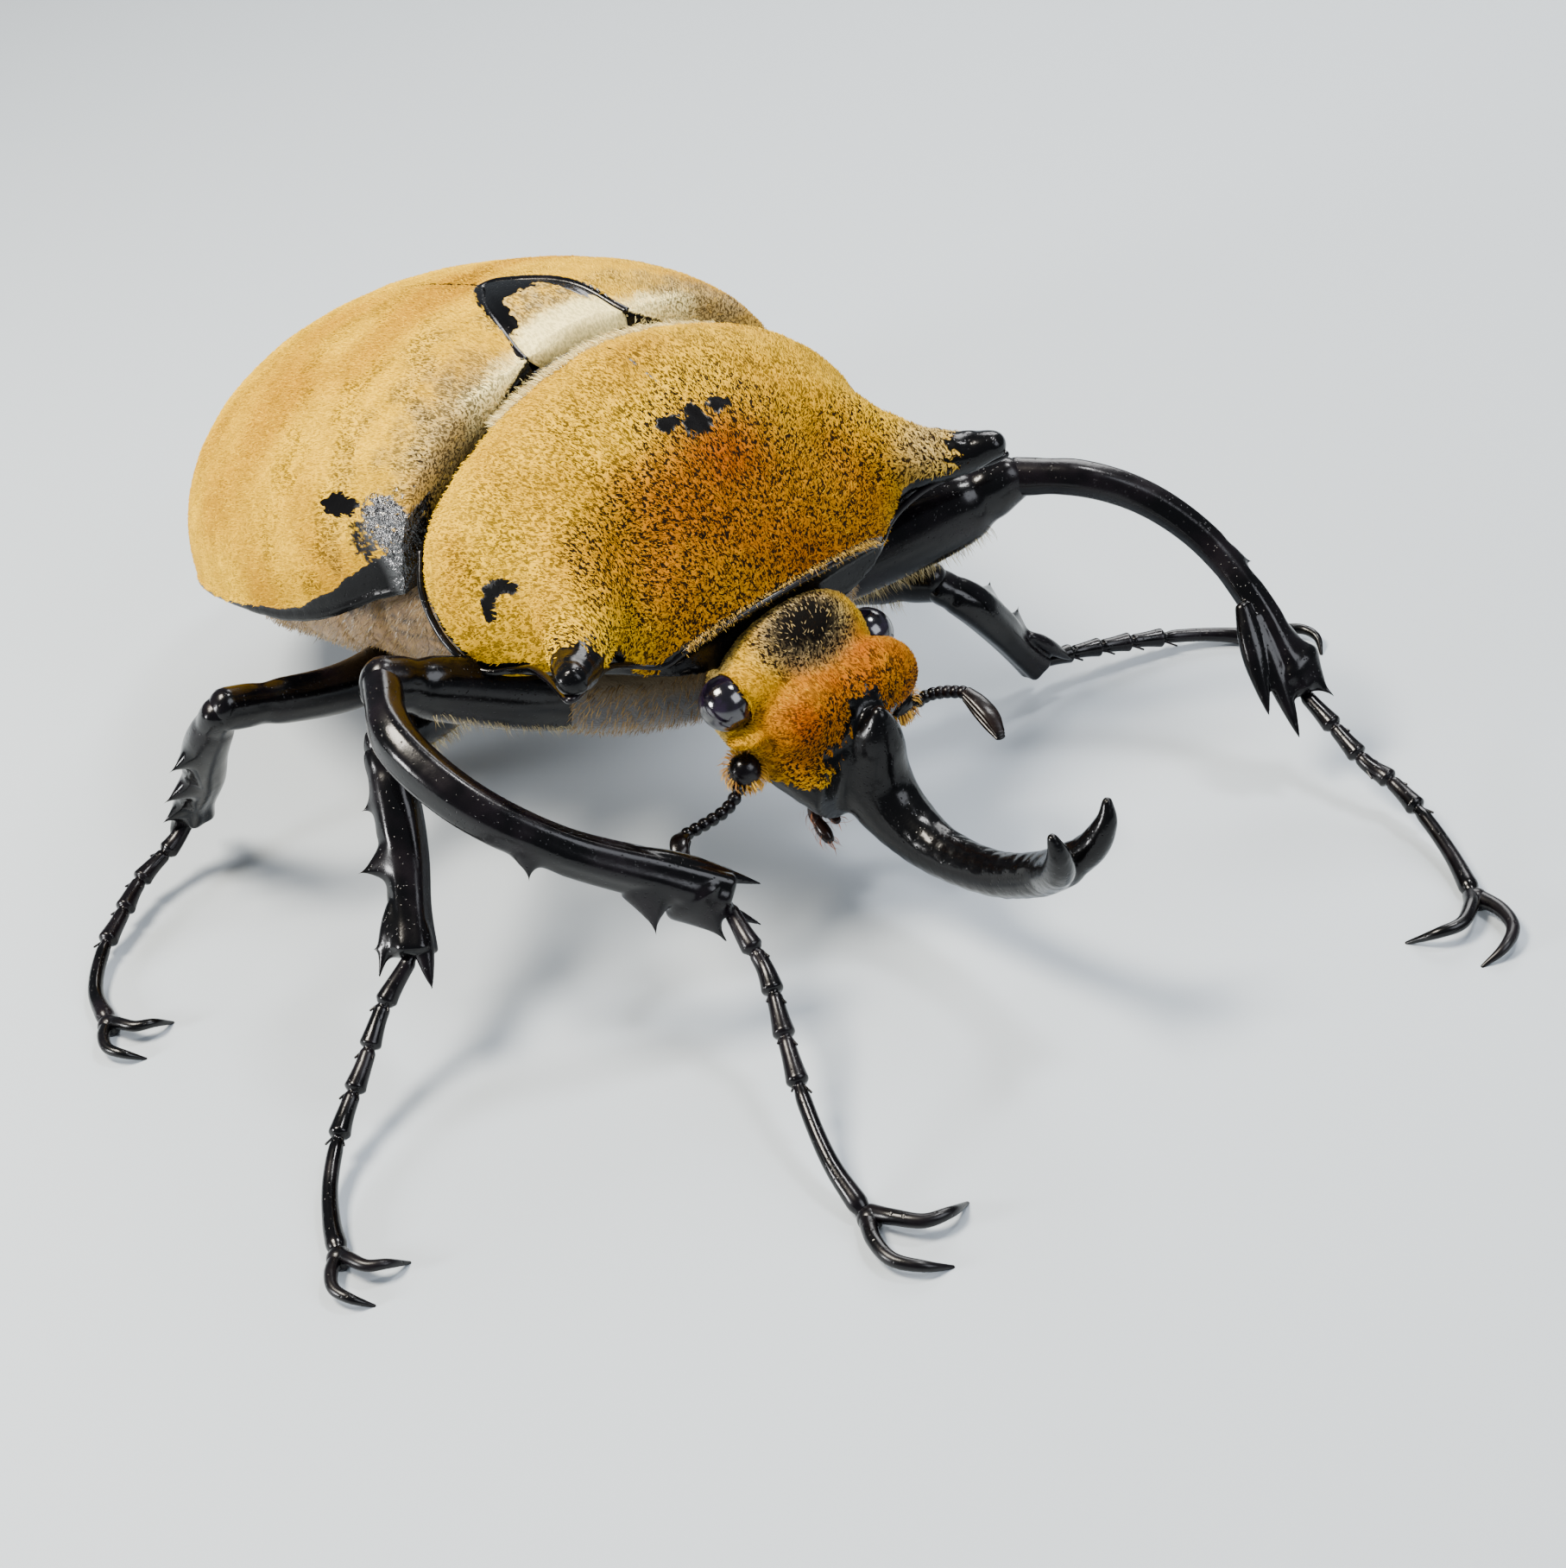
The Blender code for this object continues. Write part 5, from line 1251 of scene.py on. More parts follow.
LEGS = (
    Leg("fore_right", 1.0, 1.0,
        ((-8.5, -10.2, -25.6, 2.5), (-16.0, -9.4, -22.6, 3.0), (-23.0, -8.2, -18.9, 2.7),
         (-29.3, -7.4, -15.2, 2.1)),
        ((-29.3, -7.7, -15.3, 1.9), (-32.2, -13.6, -16.5, 2.1), (-31.2, -20.2, -19.8, 2.1),
         (-27.2, -25.6, -23.9, 2.0), (-21.4, -29.4, -28.1, 2.2), (-17.4, -32.1, -31.0, 2.3)),
        ((-30.3, -25.6, -25.6), (-23.6, -31.3, -31.9), (-18.9, -33.8, -34.0)),
        ((-14.6, -33.4, -31.0), (-16.0, -34.6, -33.6)),
        ((-17.4, -32.6, -32.0), (-18.2, -35.4, -33.0), (-18.8, -38.4, -34.8), (-21.3, -43.0, -37.0),
         (-23.6, -47.4, -39.0), (-25.4, -52.0, -41.0), (-26.1, -56.2, -42.9))),
    Leg("fore_left", 1.0, 1.0,
        ((8.5, -10.2, -25.4, 2.5), (15.5, -13.2, -23.6, 3.2), (22.8, -17.1, -21.3, 3.2),
         (27.5, -19.7, -19.2, 2.1)),
        ((27.9, -20.0, -19.0, 1.7), (31.5, -24.6, -19.3, 1.6), (34.9, -28.8, -21.5, 1.5),
         (36.8, -33.6, -24.8, 1.4), (36.9, -38.6, -28.7, 1.4), (36.5, -42.2, -32.9, 1.8),
         (36.4, -44.0, -35.6, 2.0)),
        ((39.0, -37.2, -26.6), (39.0, -43.4, -32.6), (37.9, -46.6, -36.0)),
        ((32.4, -44.1, -36.0), (33.8, -46.2, -38.2)),
        ((36.6, -44.4, -36.0), (36.3, -47.4, -37.4), (35.7, -51.7, -39.3), (35.9, -54.2, -40.2),
         (34.9, -58.4, -41.2), (33.2, -62.6, -42.2), (31.0, -66.4, -42.9))),
    Leg("mid_right", 0.72, 0.8,
        ((-8.5, 6.0, -27.6, 2.3), (-16.0, 2.2, -26.0, 2.5), (-24.0, -3.0, -23.4, 2.2),
         (-30.2, -6.7, -21.2, 1.8)),
        ((-30.4, -7.2, -21.7, 1.7), (-31.7, -9.7, -24.6, 2.0), (-33.3, -12.2, -27.8, 1.9),
         (-35.2, -14.6, -30.6, 1.7), (-36.9, -16.6, -32.8, 2.0)),
        ((-34.3, -7.8, -25.0), (-37.2, -10.6, -28.0), (-39.4, -14.6, -32.2)),
        ((-39.9, -15.9, -34.0), (-37.4, -19.4, -34.8)),
        ((-37.2, -16.7, -33.2), (-40.7, -17.0, -35.8), (-44.3, -18.7, -38.3), (-48.6, -21.1, -40.5),
         (-51.9, -24.1, -41.8), (-54.0, -27.2, -42.5), (-55.3, -30.0, -42.9))),
    Leg("mid_left", 0.72, 0.8,
        ((8.5, 5.2, -27.6, 2.3), (13.0, -2.4, -28.2, 2.5), (17.6, -9.6, -28.4, 2.2),
         (21.3, -15.4, -28.2, 1.8)),
        ((21.6, -15.8, -28.6, 1.7), (23.8, -17.5, -31.0, 2.0), (25.8, -18.3, -34.0, 1.9),
         (27.6, -18.6, -37.0, 1.7), (29.4, -18.8, -39.4, 2.0)),
        ((28.2, -15.2, -31.4), (30.4, -16.2, -34.8), (32.4, -17.0, -38.8)),
        ((32.4, -20.6, -40.2), (31.0, -17.4, -42.2)),
        ((30.0, -18.9, -39.8), (33.4, -19.4, -40.4), (37.0, -20.5, -41.0), (40.6, -22.0, -41.6),
         (44.0, -23.8, -42.2), (46.6, -26.0, -42.6), (48.6, -28.6, -42.9))),
    Leg("hind_right", 0.72, 0.8,
        ((-8.5, 18.6, -29.0, 2.4), (-16.0, 14.0, -28.4, 2.5), (-24.4, 10.8, -26.2, 2.1),
         (-35.2, 10.0, -22.1, 1.8)),
        ((-35.5, 10.3, -22.4, 1.8), (-36.4, 13.6, -27.0, 2.2), (-36.0, 16.6, -31.4, 2.0),
         (-36.3, 19.4, -35.0, 1.9), (-36.3, 21.0, -37.2, 2.1)),
        ((-40.4, 13.6, -27.6), (-40.4, 17.0, -32.4), (-40.0, 20.2, -36.4)),
        ((-35.0, 24.2, -38.6), (-38.6, 22.4, -39.8)),
        ((-36.6, 21.2, -37.8), (-39.2, 21.0, -39.5), (-43.2, 20.2, -40.6), (-46.8, 17.9, -41.4),
         (-50.0, 15.7, -42.1), (-52.8, 12.2, -42.7), (-54.0, 8.0, -42.9))),
    Leg("hind_left", 0.72, 0.8,
        ((8.5, 18.6, -29.0, 2.4), (16.0, 19.6, -28.6, 2.5), (24.0, 21.8, -26.4, 2.1),
         (31.0, 24.0, -22.9, 1.8)),
        ((31.2, 24.5, -23.2, 1.8), (32.6, 28.4, -27.4, 2.2), (33.2, 32.2, -31.4, 2.0),
         (33.4, 35.6, -35.0, 1.9), (33.4, 37.6, -37.4, 2.1)),
        ((36.6, 27.0, -28.2), (37.6, 31.4, -32.8), (37.6, 35.8, -36.6)),
        ((31.0, 39.8, -39.4), (35.2, 40.4, -39.2)),
        ((33.6, 37.8, -38.0), (34.8, 40.4, -39.6), (36.4, 43.8, -40.6), (38.6, 47.4, -41.4),
         (41.4, 50.2, -42.1), (44.6, 51.6, -42.7), (48.0, 51.4, -42.9))),
)


def linear(code: str) -> tuple[float, float, float, float]:
    """sRGB hex code to linear colour with alpha 1."""
    values = [int(code[i:i + 2], 16) / 255 for i in (1, 3, 5)]
    return (*[v / 12.92 if v <= 0.04045 else ((v + 0.055) / 1.055) ** 2.4 for v in values], 1.0)


class Net:
    """A material's nodes, added with their settings and links by one call."""

    def __init__(self, name: str) -> None:
        """Starts a material with only its output."""
        self.material = bpy.data.materials.new(name)
        self.material.use_nodes = True
        self.tree = self.material.node_tree
        self.tree.nodes.clear()
        self.output = self.tree.nodes.new("ShaderNodeOutputMaterial")

    def add(self, kind: str, inputs: dict | None = None, **settings: object) -> bpy.types.Node:
        """Adds a node.

        Args:
            kind: type without the ShaderNode prefix.
            inputs: value or output socket by input name or index.
            settings: attributes of the node.

        Returns:
            The node.
        """
        node = self.tree.nodes.new(f"ShaderNode{kind}")
        for key, value in settings.items():
            setattr(node, key, value)
        for key, value in (inputs or {}).items():
            socket = node.inputs[key]
            if isinstance(value, Socket):
                self.tree.links.new(value, socket)
            else:
                socket.default_value = value
        return node

    def mark(self, name: str) -> Socket:
        """A stored value of the mesh."""
        return self.add("Attribute", attribute_name=name).outputs["Fac"]

    def mix(self, factor: object, a: object, b: object) -> Socket:
        """Colour a to b by the factor."""
        return self.add("Mix", {0: factor, 6: a, 7: b}, data_type="RGBA").outputs[2]

    def blend(self, factor: object, a: object, b: object) -> Socket:
        """Number a to b by the factor."""
        return self.add("Mix", {0: factor, 2: a, 3: b}, data_type="FLOAT").outputs[0]

    def calc(self, operation: str, a: object, b: object) -> Socket:
        """Two numbers joined by a named operation."""
        return self.add("Math", {0: a, 1: b}, operation=operation).outputs[0]

    def remap(self, value: Socket, low: float, high: float) -> Socket:
        """Value from low..high to 0..1, smoothly."""
        return self.add("MapRange", {0: value, 1: low, 2: high}, interpolation_type="SMOOTHSTEP").outputs[0]

    def noise(self, size_mm: float, detail: float = 3.0, stretch: tuple = (1, 1, 1)) -> Socket:
        """Noise with bumps of a real size, over Object coordinates."""
        spot = self.add("TexCoord").outputs["Object"]
        mapped = self.add("Mapping", {0: spot, 3: stretch}).outputs[0]
        return self.add("TexNoise", {"Vector": mapped, "Scale": 1000 / size_mm, "Detail": detail,
                                     "Roughness": 0.6}).outputs[0]

    def pits(self, size_mm: float) -> Socket:
        """Distance to the nearest of scattered points, in units of their spacing."""
        spot = self.add("TexCoord").outputs["Object"]
        return self.add("TexVoronoi", {"Vector": spot, "Scale": 1000 / size_mm}).outputs["Distance"]

    def bump(self, height: Socket, depth_mm: float, strength: float = 1.0,
             normal: Socket | None = None) -> Socket:
        """Bump of a real depth, after another bump."""
        inputs = {"Strength": strength, "Distance": depth_mm * MM, "Height": height}
        if normal is not None:
            inputs["Normal"] = normal
        return self.add("Bump", inputs).outputs[0]

    def surface(self, inputs: dict) -> Socket:
        """A principled shader with these inputs."""
        return self.add("BsdfPrincipled", inputs).outputs[0]

    def join(self, factor: object, a: Socket, b: Socket) -> Socket:
        """Shader a to b by the factor."""
        return self.add("MixShader", {0: factor, 1: a, 2: b}).outputs[0]

    def close(self, shader: Socket) -> Finish:
        """Links the shader to the output."""
        self.tree.links.new(shader, self.output.inputs["Surface"])
        return self.material


@dataclass(frozen=True)
class Velvet:
    """Golden down over black shell; the shell shows where the down is worn off."""

    gold: str = "#B48200"
    straw: str = "#D6A800"
    shadow: str = "#8C6808"
    rust: str = "#904800"
    # Dark of the gaps between the hairs, also used for the painted shade in the fore shield's horn troughs.
    soot: str = "#1A1007"
    cream: str = "#F0DE98"
    # Grey of greyish down, also used as the painted sheen by the fore shield's left horn.
    silver: str = "#8C846A"
    # Bright yellow of the painted glint on the lightest hairs.
    painted_glint: str = "#F4C418"
    shell: str = "#040405"
    bald: str = "#0A0806"

    def colour(self, net: Net) -> Socket:
        """Down colour from the stored marks, mottled at 3 mm."""
        coarse = net.remap(net.noise(3.2, 4), 0.35, 0.65)
        base = net.mix(net.mark("pale"), linear(self.gold), linear(self.straw))
        base = net.mix(net.blend(coarse, 0.0, 0.35), base, linear(self.shadow))
        for mark, code in (("rust", self.rust), ("silver", self.silver), ("cream", self.cream)):
            base = net.mix(net.mark(mark), base, linear(code))
        return base

    def gloss(self, net: Net, roughness: float, ior: float, level: float, bump: Socket) -> Socket:
        """Black shell with one kind of gloss."""
        return net.surface({"Base Color": linear(self.shell), "Roughness": roughness, "IOR": ior,
                            "Specular IOR Level": level, "Normal": bump})

    def skin(self, name: str) -> Finish:
        """Down as a fine grain with dark gaps; bare shell is polished, dull on worn spots, wet on folds."""
        net = Net(name)
        grain = net.noise(0.2, 2, (1, 0.4, 0.6))
        gaps = net.remap(grain, 0.53, 0.45)
        dark = net.calc("MULTIPLY", gaps, net.blend(net.mark("soot"), 0.3, 1.0))
        base = net.mix(dark, self.colour(net), linear(self.soot))
        base = net.mix(net.mark("thin"), base, linear(self.bald))
        pits = net.remap(net.pits(0.4), 0.0, 0.3)
        folds = net.calc("MULTIPLY", net.noise(0.8, 3), net.mark("wrinkle"))
        bump = net.bump(pits, 0.04, 0.5, net.bump(net.noise(1.8, 3), 0.1, 0.6))
        bump = net.bump(folds, 0.6, 1.0, bump)
        down = net.surface({"Base Color": base, "Roughness": 0.75, "Specular IOR Level": 0.04,
                            "Normal": net.bump(grain, 0.08, 0.9)})
        shell = self.gloss(net, 0.2, 1.5, 0.2, bump)
        for mark, kind in (("dull", (0.55, 1.5, 0.03)), ("wrinkle", (0.26, 1.6, 1.0))):
            shell = net.join(net.mark(mark), shell, self.gloss(net, *kind, bump))
        ragged = net.blend(net.noise(0.3, 2, (1, 0.4, 1)), -0.3, 0.3)
        worn = net.remap(net.calc("ADD", net.mark("bare"), ragged), 0.38, 0.62)
        return net.close(net.join(worn, down, shell))

    def hair(self, name: str) -> Finish:
        """Each hair has the down's colour at its root, lighter or darker by its own tone; light ones get a
        painted glint.
        """
        net = Net(name)
        soot = net.mark("soot")
        tone = net.calc("SUBTRACT", net.mark("tone"), net.blend(soot, -0.03, 0.07))
        shade = net.calc("MULTIPLY", net.remap(tone, 0.52, 0.34), net.blend(soot, 0.1, 1.0))
        base = net.mix(shade, self.colour(net), linear(self.soot))
        # The lightest hairs are mixed towards bright yellow as a painted glint, less so on rust.
        shine = net.calc("MULTIPLY", net.remap(tone, 0.6, 0.95), net.blend(net.mark("rust"), 0.4, 0.12))
        base = net.mix(shine, base, linear(self.painted_glint))
        return net.close(net.surface({"Base Color": base, "Roughness": 0.6, "Specular IOR Level": 0.05}))


@dataclass(frozen=True)
class Polished:
    """Near-black shell of legs, horns and feelers with punctures and a violet-brown cast."""

    base: str = "#030304"
    cast: str = "#0A060A"
    roughness: float = 0.17
    pit_mm: float = 0.42

    def build(self, name: str) -> Finish:
        """Waxy gloss over punctures and shallow wrinkles."""
        net = Net(name)
        cloud = net.remap(net.noise(5.0, 3), 0.4, 0.7)
        pits = net.remap(net.pits(self.pit_mm), 0.04, 0.22)
        normal = net.bump(pits, 0.05, 0.55, net.bump(net.noise(1.2, 4), 0.05, 0.5))
        rough = net.blend(cloud, self.roughness, self.roughness + 0.12)
        base = net.mix(cloud, linear(self.base), linear(self.cast))
        return net.close(net.surface({"Base Color": base, "Roughness": rough, "IOR": 1.5,
                                      "Specular IOR Level": 0.25, "Normal": normal}))


@dataclass(frozen=True)
class Underside:
    """Tan down over brown skin, darker on the bare plates and where shade is painted."""

    tan: str = "#8A6834"
    olive: str = "#644822"
    # Near-black of the bare plates, also used for the painted shade low on the fore breast.
    plate_and_shade: str = "#0C0808"
    # Dark olive of the painted shade low on the fore breast.
    dusk: str = "#4A3A18"
    # Dark of the painted shade lines along the side folds.
    crease: str = "#1E150C"

    def build(self, name: str) -> Finish:
        """Matte down that thins out over the plates."""
        net = Net(name)
        cloud = net.remap(net.noise(2.6, 4), 0.35, 0.65)
        grain = net.noise(0.2, 3, (1, 0.3, 1))
        base = net.mix(cloud, linear(self.olive), linear(self.tan))
        for mark, code in (("dusk", self.dusk), ("bare", self.plate_and_shade), ("crease", self.crease)):
            base = net.mix(net.mark(mark), base, linear(code))
        rough = net.blend(net.mark("bare"), 0.75, 0.3)
        return net.close(net.surface({"Base Color": base, "Roughness": rough, "Sheen Weight": 0.3,
                                      "Sheen Roughness": 0.5, "Normal": net.bump(grain, 0.08, 0.9)}))


@dataclass(frozen=True)
class Eye:
    """Dark violet eye of many facets under a wet-looking glaze."""

    base: str = "#08060C"
    violet: str = "#1A1122"
    facet_mm: float = 0.07

    def build(self, name: str) -> Finish:
        """Facets as a faint bump under a sharp coat."""
        net = Net(name)
        cloud = net.remap(net.noise(1.2, 2), 0.4, 0.7)
        base = net.mix(cloud, linear(self.base), linear(self.violet))
        facets = net.bump(net.pits(self.facet_mm), 0.01, 0.35)
        return net.close(net.surface({"Base Color": base, "Roughness": 0.12, "IOR": 1.56,
                                      "Coat Weight": 0.6, "Coat Roughness": 0.05, "Normal": facets}))


@dataclass(frozen=True)
class Bristle:
    """Long hairs of one colour, lighter and darker by tone."""

    dark: str
    light: str

    def build(self, name: str) -> Finish:
        """Satin hair."""
        net = Net(name)
        base = net.mix(net.mark("tone"), linear(self.dark), linear(self.light))
        return net.close(net.surface({"Base Color": base, "Roughness": 0.42, "Sheen Weight": 0.2,
                                      "Specular IOR Level": 0.45}))


def dress(made: Piece, material: Finish) -> None:
    """Gives the piece one material."""
    made.data.materials.clear()
    made.data.materials.append(material)


@dataclass
class Coat:
    """Short thin blades that grow from a skin and lie along the body.

    Attributes:
        name: the piece's name.
        density: blades per square millimetre.
        length, width: sizes in millimetres, least and most.
        lift: angle off the skin in degrees.
        lie: direction that the blades lie in, from positions.
        keep: share kept, from the positions and normals at the roots.
        seed: seed of the roots.
        limit: most blades in one piece.
        stray: scatter of the direction that they lie in.
        sunk: depth of the roots in millimetres.
        settle: share of the lift that is left past the bend.
    """

    name: str
    density: float
    length: tuple
    width: tuple
    lift: tuple
    lie: Mover
    keep: Keeper
    seed: int
    limit: int = 64000
    stray: float = 0.22
    sunk: float = 0.03
    settle: float = 0.25

    def roots(self, skin: Piece) -> tuple[Points, Points, np.ndarray]:
        """Random points, normals and UVs spread by area over the skin."""
        mesh = skin.data
        mesh.calc_loop_triangles()
        tri = read(mesh.loop_triangles, "vertices", 3, int)
        loops = read(mesh.loop_triangles, "loops", 3, int)
        points = points_of(skin)
        normals = read(mesh.vertices, "normal", 3)
        uv = read(mesh.uv_layers[0].data, "uv", 2)
        corner = points[tri]
        area = norm(np.cross(corner[:, 1] - corner[:, 0], corner[:, 2] - corner[:, 0]), axis=1) / 2
        rng = np.random.default_rng(self.seed)
        total = int(area.sum() * self.density)
        pick = np.searchsorted(np.cumsum(area) / area.sum(), rng.random(total)).clip(0, len(tri) - 1)
        a, b = rng.random(total), rng.random(total)
        flip = a + b > 1
        a, b = np.where(flip, 1 - a, a), np.where(flip, 1 - b, b)
        share = np.stack([1 - a - b, a, b], axis=1)[..., None]
        root = (points[tri[pick]] * share).sum(axis=1)
        normal = (normals[tri[pick]] * share).sum(axis=1)
        normal /= np.maximum(norm(normal, axis=1), 1e-6)[:, None]
        spot = uv[loops[pick][:, 0]]
        kept = rng.random(total) < self.keep(root, normal)
        return tuple(rows[kept][:self.limit] for rows in (root, normal, spot))

    def build(self, skin: Piece,
              values: Marker | None = None) -> Piece:
        """Grows the blades.

        Args:
            skin: what they grow from.
            values: marks at the roots, which each blade carries.

        Returns:
            The joined mesh: five points a blade, from its root by a bend to its tip.
        """
        root, normal, spot = self.roots(skin)
        count = len(root)
        rng = np.random.default_rng(self.seed + 1)
        lie = self.lie(root) + self.stray * rng.normal(size=(count, 3))
        lie -= normal * np.einsum("ij,ij->i", lie, normal)[:, None]
        lie /= np.maximum(norm(lie, axis=1), 1e-6)[:, None]
        across = np.cross(normal, lie)
        length = rng.uniform(*self.length, count)[:, None]
        width = rng.uniform(*self.width, count)[:, None] / 2
        lift = np.radians(rng.uniform(*self.lift, count))[:, None]
        start = root - normal * self.sunk
        middle = root + (lie * np.cos(lift) + normal * np.sin(lift)) * length * 0.5
        lift = lift * self.settle
        tip = middle + (lie * np.cos(lift) + normal * np.sin(lift)) * length * 0.5
        half = across * width
        five = np.stack([start - half * 0.8, start + half * 0.8, middle + half, middle - half, tip], axis=1)
        five[..., 2] = np.maximum(five[..., 2], 0.02 - FLOOR_DROP)
        marks = dict(values(root)) if values else {}
        clump = ripple(root * [1, 0.5, 0.75], 0.2, self.seed + 2)
        marks["tone"] = np.clip(0.5 + 0.36 * clump + 0.34 * (rng.random(count) - 0.5), 0, 1)
        made = make_blades(self.name, five, spot, marks)
        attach(made, "root")
        return made


def back_along(points: Points) -> Points:
    """Backward and slightly down and outward, as the down lies on the shields."""
    x, y, z = xyz(points)
    side = 0.25 * np.sign(x) * np.minimum(np.abs(x) / 10, 1)
    return np.stack([side, np.ones_like(y), -0.3 + 0 * z], axis=-1)


def hanging(forward: float, down: float) -> Mover:
    """Rule that lays every hair in one direction of the middle plane."""
    return lambda points: np.repeat([[0.0, forward, down]], len(points), 0)


@dataclass
class Hairs:
    """All coats of the beetle; a fringe's roots are scattered by jitter, and its thin hairs sag."""

    pronotum: Pronotum
    velvet: Velvet = field(default_factory=Velvet)
    jitter: float = 0.18
    sag: float = 0.12
    thin: tuple = (0.03, 0.06)

    def on_shield(self, skin: Piece, name: str, values: Marker,
                  density: float, length: tuple, seed: int, above: float = -0.25) -> Piece:
        """Velvet nap on a shield where its normal's height is over a limit, none where it is worn."""

        def keep(points: Points, normals: Points) -> np.ndarray:
            """Outer side only, and not on bare shell."""
            marks = values(points)
            sparse = 1 - 0.72 * marks.get("thin", 0 * normals[:, 2])
            return (1 - step(0.2, 0.6, marks["bare"])) * (normals[:, 2] > above) * sparse

        coat = Coat(name, density, length, (0.05, 0.09), (6, 22), back_along, keep, seed)
        made = coat.build(skin, values)
        dress(made, self.velvet.hair(f"{name}_down"))
        return made

    def tufts(self, skin: Piece, name: str, bristle: Finish, density: float,
              length: tuple, width: tuple, lift: tuple, keep: Keeper,
              lie: Mover, seed: int) -> Piece:
        """Hairs of one kind over part of a piece, as Coat grows them."""
        made = Coat(name, density, length, width, lift, lie, keep, seed).build(skin)
        dress(made, bristle)
        return made

    def arch(self, row: int, x: np.ndarray, back: float, up: float) -> Points:
        """Line along the fore shield's first or last arch, moved back and up."""
        (_, ry, rz), (_, my, mz) = self.pronotum.rim[row], self.pronotum.back[row]
        n = self.pronotum.roundness[row]
        rise = (1 - (np.abs(x) / self.pronotum.rim[row][0]) ** n) ** (1 / n)
        return np.stack([x, ry + (my - ry) * rise + back, rz + (mz - rz) * rise + up], axis=1)

    def collar(self) -> Piece:
        """Cream fringe that leans back from the fore shield's hind edge over the scutellum."""
        x = np.linspace(-10.5, 13.0, 120)
        out = np.stack([0.012 * x, np.ones_like(x), -0.08 - 0.012 * np.abs(x)], axis=1)
        hair = Bristle("#B0924A", "#F6E6A0").build("cream_fringe")
        return self.fringe("collar_fringe", self.arch(0, x, back=-0.1, up=-0.25), out, count=8000,
                           length=(0.8, 1.7), material=hair, seed=131, spread=0.12)

    def lip(self) -> Piece:
        """Short gold hairs along the fore shield's front margin, over the neck."""
        reach = self.pronotum.rim[-1][0]
        x = np.linspace(-0.86 * reach, 0.92 * reach, 140)
        out = np.stack([0.02 * x, -0.75 + 0 * x, -0.65 + 0 * x], axis=1)
        hair = Bristle("#8A6410", "#D8AE3C").build("gold_lip")
        return self.fringe("margin_fringe", self.arch(-1, x, back=0.05, up=0.1), out, count=2400,
                           length=(0.2, 0.5), material=hair, seed=133, spread=0.3)

    def thigh(self, leg: Leg) -> Piece:
        """Thin pale row of hairs under a thigh."""
        path = smooth_path([(x, y, z, r) for x, y, z, r in leg.thigh], 40)[8:34]
        shin = np.array(leg.shin[2][:3]) - path[-1, :3]
        way = np.array([0, np.sign(shin[1]) * 0.55, -0.83])
        line = path[:, :3] + way * path[:, 3:] * 0.86
        out = np.repeat(way[None], len(line), 0) + [0, 0, -0.1]
        hair = Bristle("#7A6434", "#D8C68C").build(f"{leg.name}_thigh_hair")
        return self.fringe(f"{leg.name}_thigh_fringe", line, out, count=420, length=(0.7, 1.6),
                           material=hair, seed=141 + LEGS.index(leg), spread=0.28)

    def breast(self, bodies: list) -> list[Piece]:
        """Tan down on the sides of the trunk, short of the tail's end."""
        bristle = Bristle("#3E2C12", "#94763E").build("breast_down")

        def keep(points: Points, normals: Points) -> np.ndarray:
            """Sides and underside, away from the middle line."""
            return (normals[:, 2] < 0.5) * (np.abs(points[:, 0]) > 3.0) * (points[:, 1] < 53.0) * 0.9

        def lie(points: Points) -> Points:
            """Down and back."""
            x = points[:, 0]
            return np.stack([0.3 * np.sign(x), 0.5 + 0 * x, -0.8 + 0 * x], axis=1)

        return [self.tufts(body, f"{body.name}_down", bristle, density=8.0, length=(0.5, 1.3),
                           width=(0.05, 0.08), lift=(15, 50), keep=keep, lie=lie, seed=151 + index) for index, body in enumerate(bodies)]

    def fans(self, face: Face, stalks: list) -> list[Piece]:
        """Ring of stout gold hairs round the first joint of each feeler."""
        bristle = Bristle("#9A6008", "#F4BE30").build("feeler_fan")
        made = []
        for side, stalk in zip(Side, stalks):
            ball_at = np.array(face.stalks[side][0])

            def keep(points: Points, normals: Points) -> np.ndarray:
                """A band round the joint, square to the view from the front."""
                near = norm(points - ball_at, axis=1) < 1.6
                return near * (np.abs(normals @ np.array([-0.45, -0.65, 0.6]) + 0.05) < 0.55) * 1.0

            made.append(self.tufts(stalk, f"feeler_{side.word}_fan", bristle, density=22.0,
                                   length=(0.8, 1.4), width=(0.1, 0.16), lift=(40, 70), keep=keep,
                                   lie=hanging(-0.3, -1.0), seed=161 + side.value))
        return made

    def muzzle(self, mouth: Piece) -> Piece:
        """Rusty hairs under the mouth."""
        bristle = Bristle("#3A1A08", "#B8661C").build("mouth_bristles")
        return self.tufts(mouth, "mouth_hair", bristle, density=7.0, length=(0.7, 1.6),
                          width=(0.05, 0.09), lift=(25, 60),
                          keep=lambda _, normals: (normals[:, 2] < 0.4) * 0.9,
                          lie=hanging(-0.8, -0.6), seed=171)

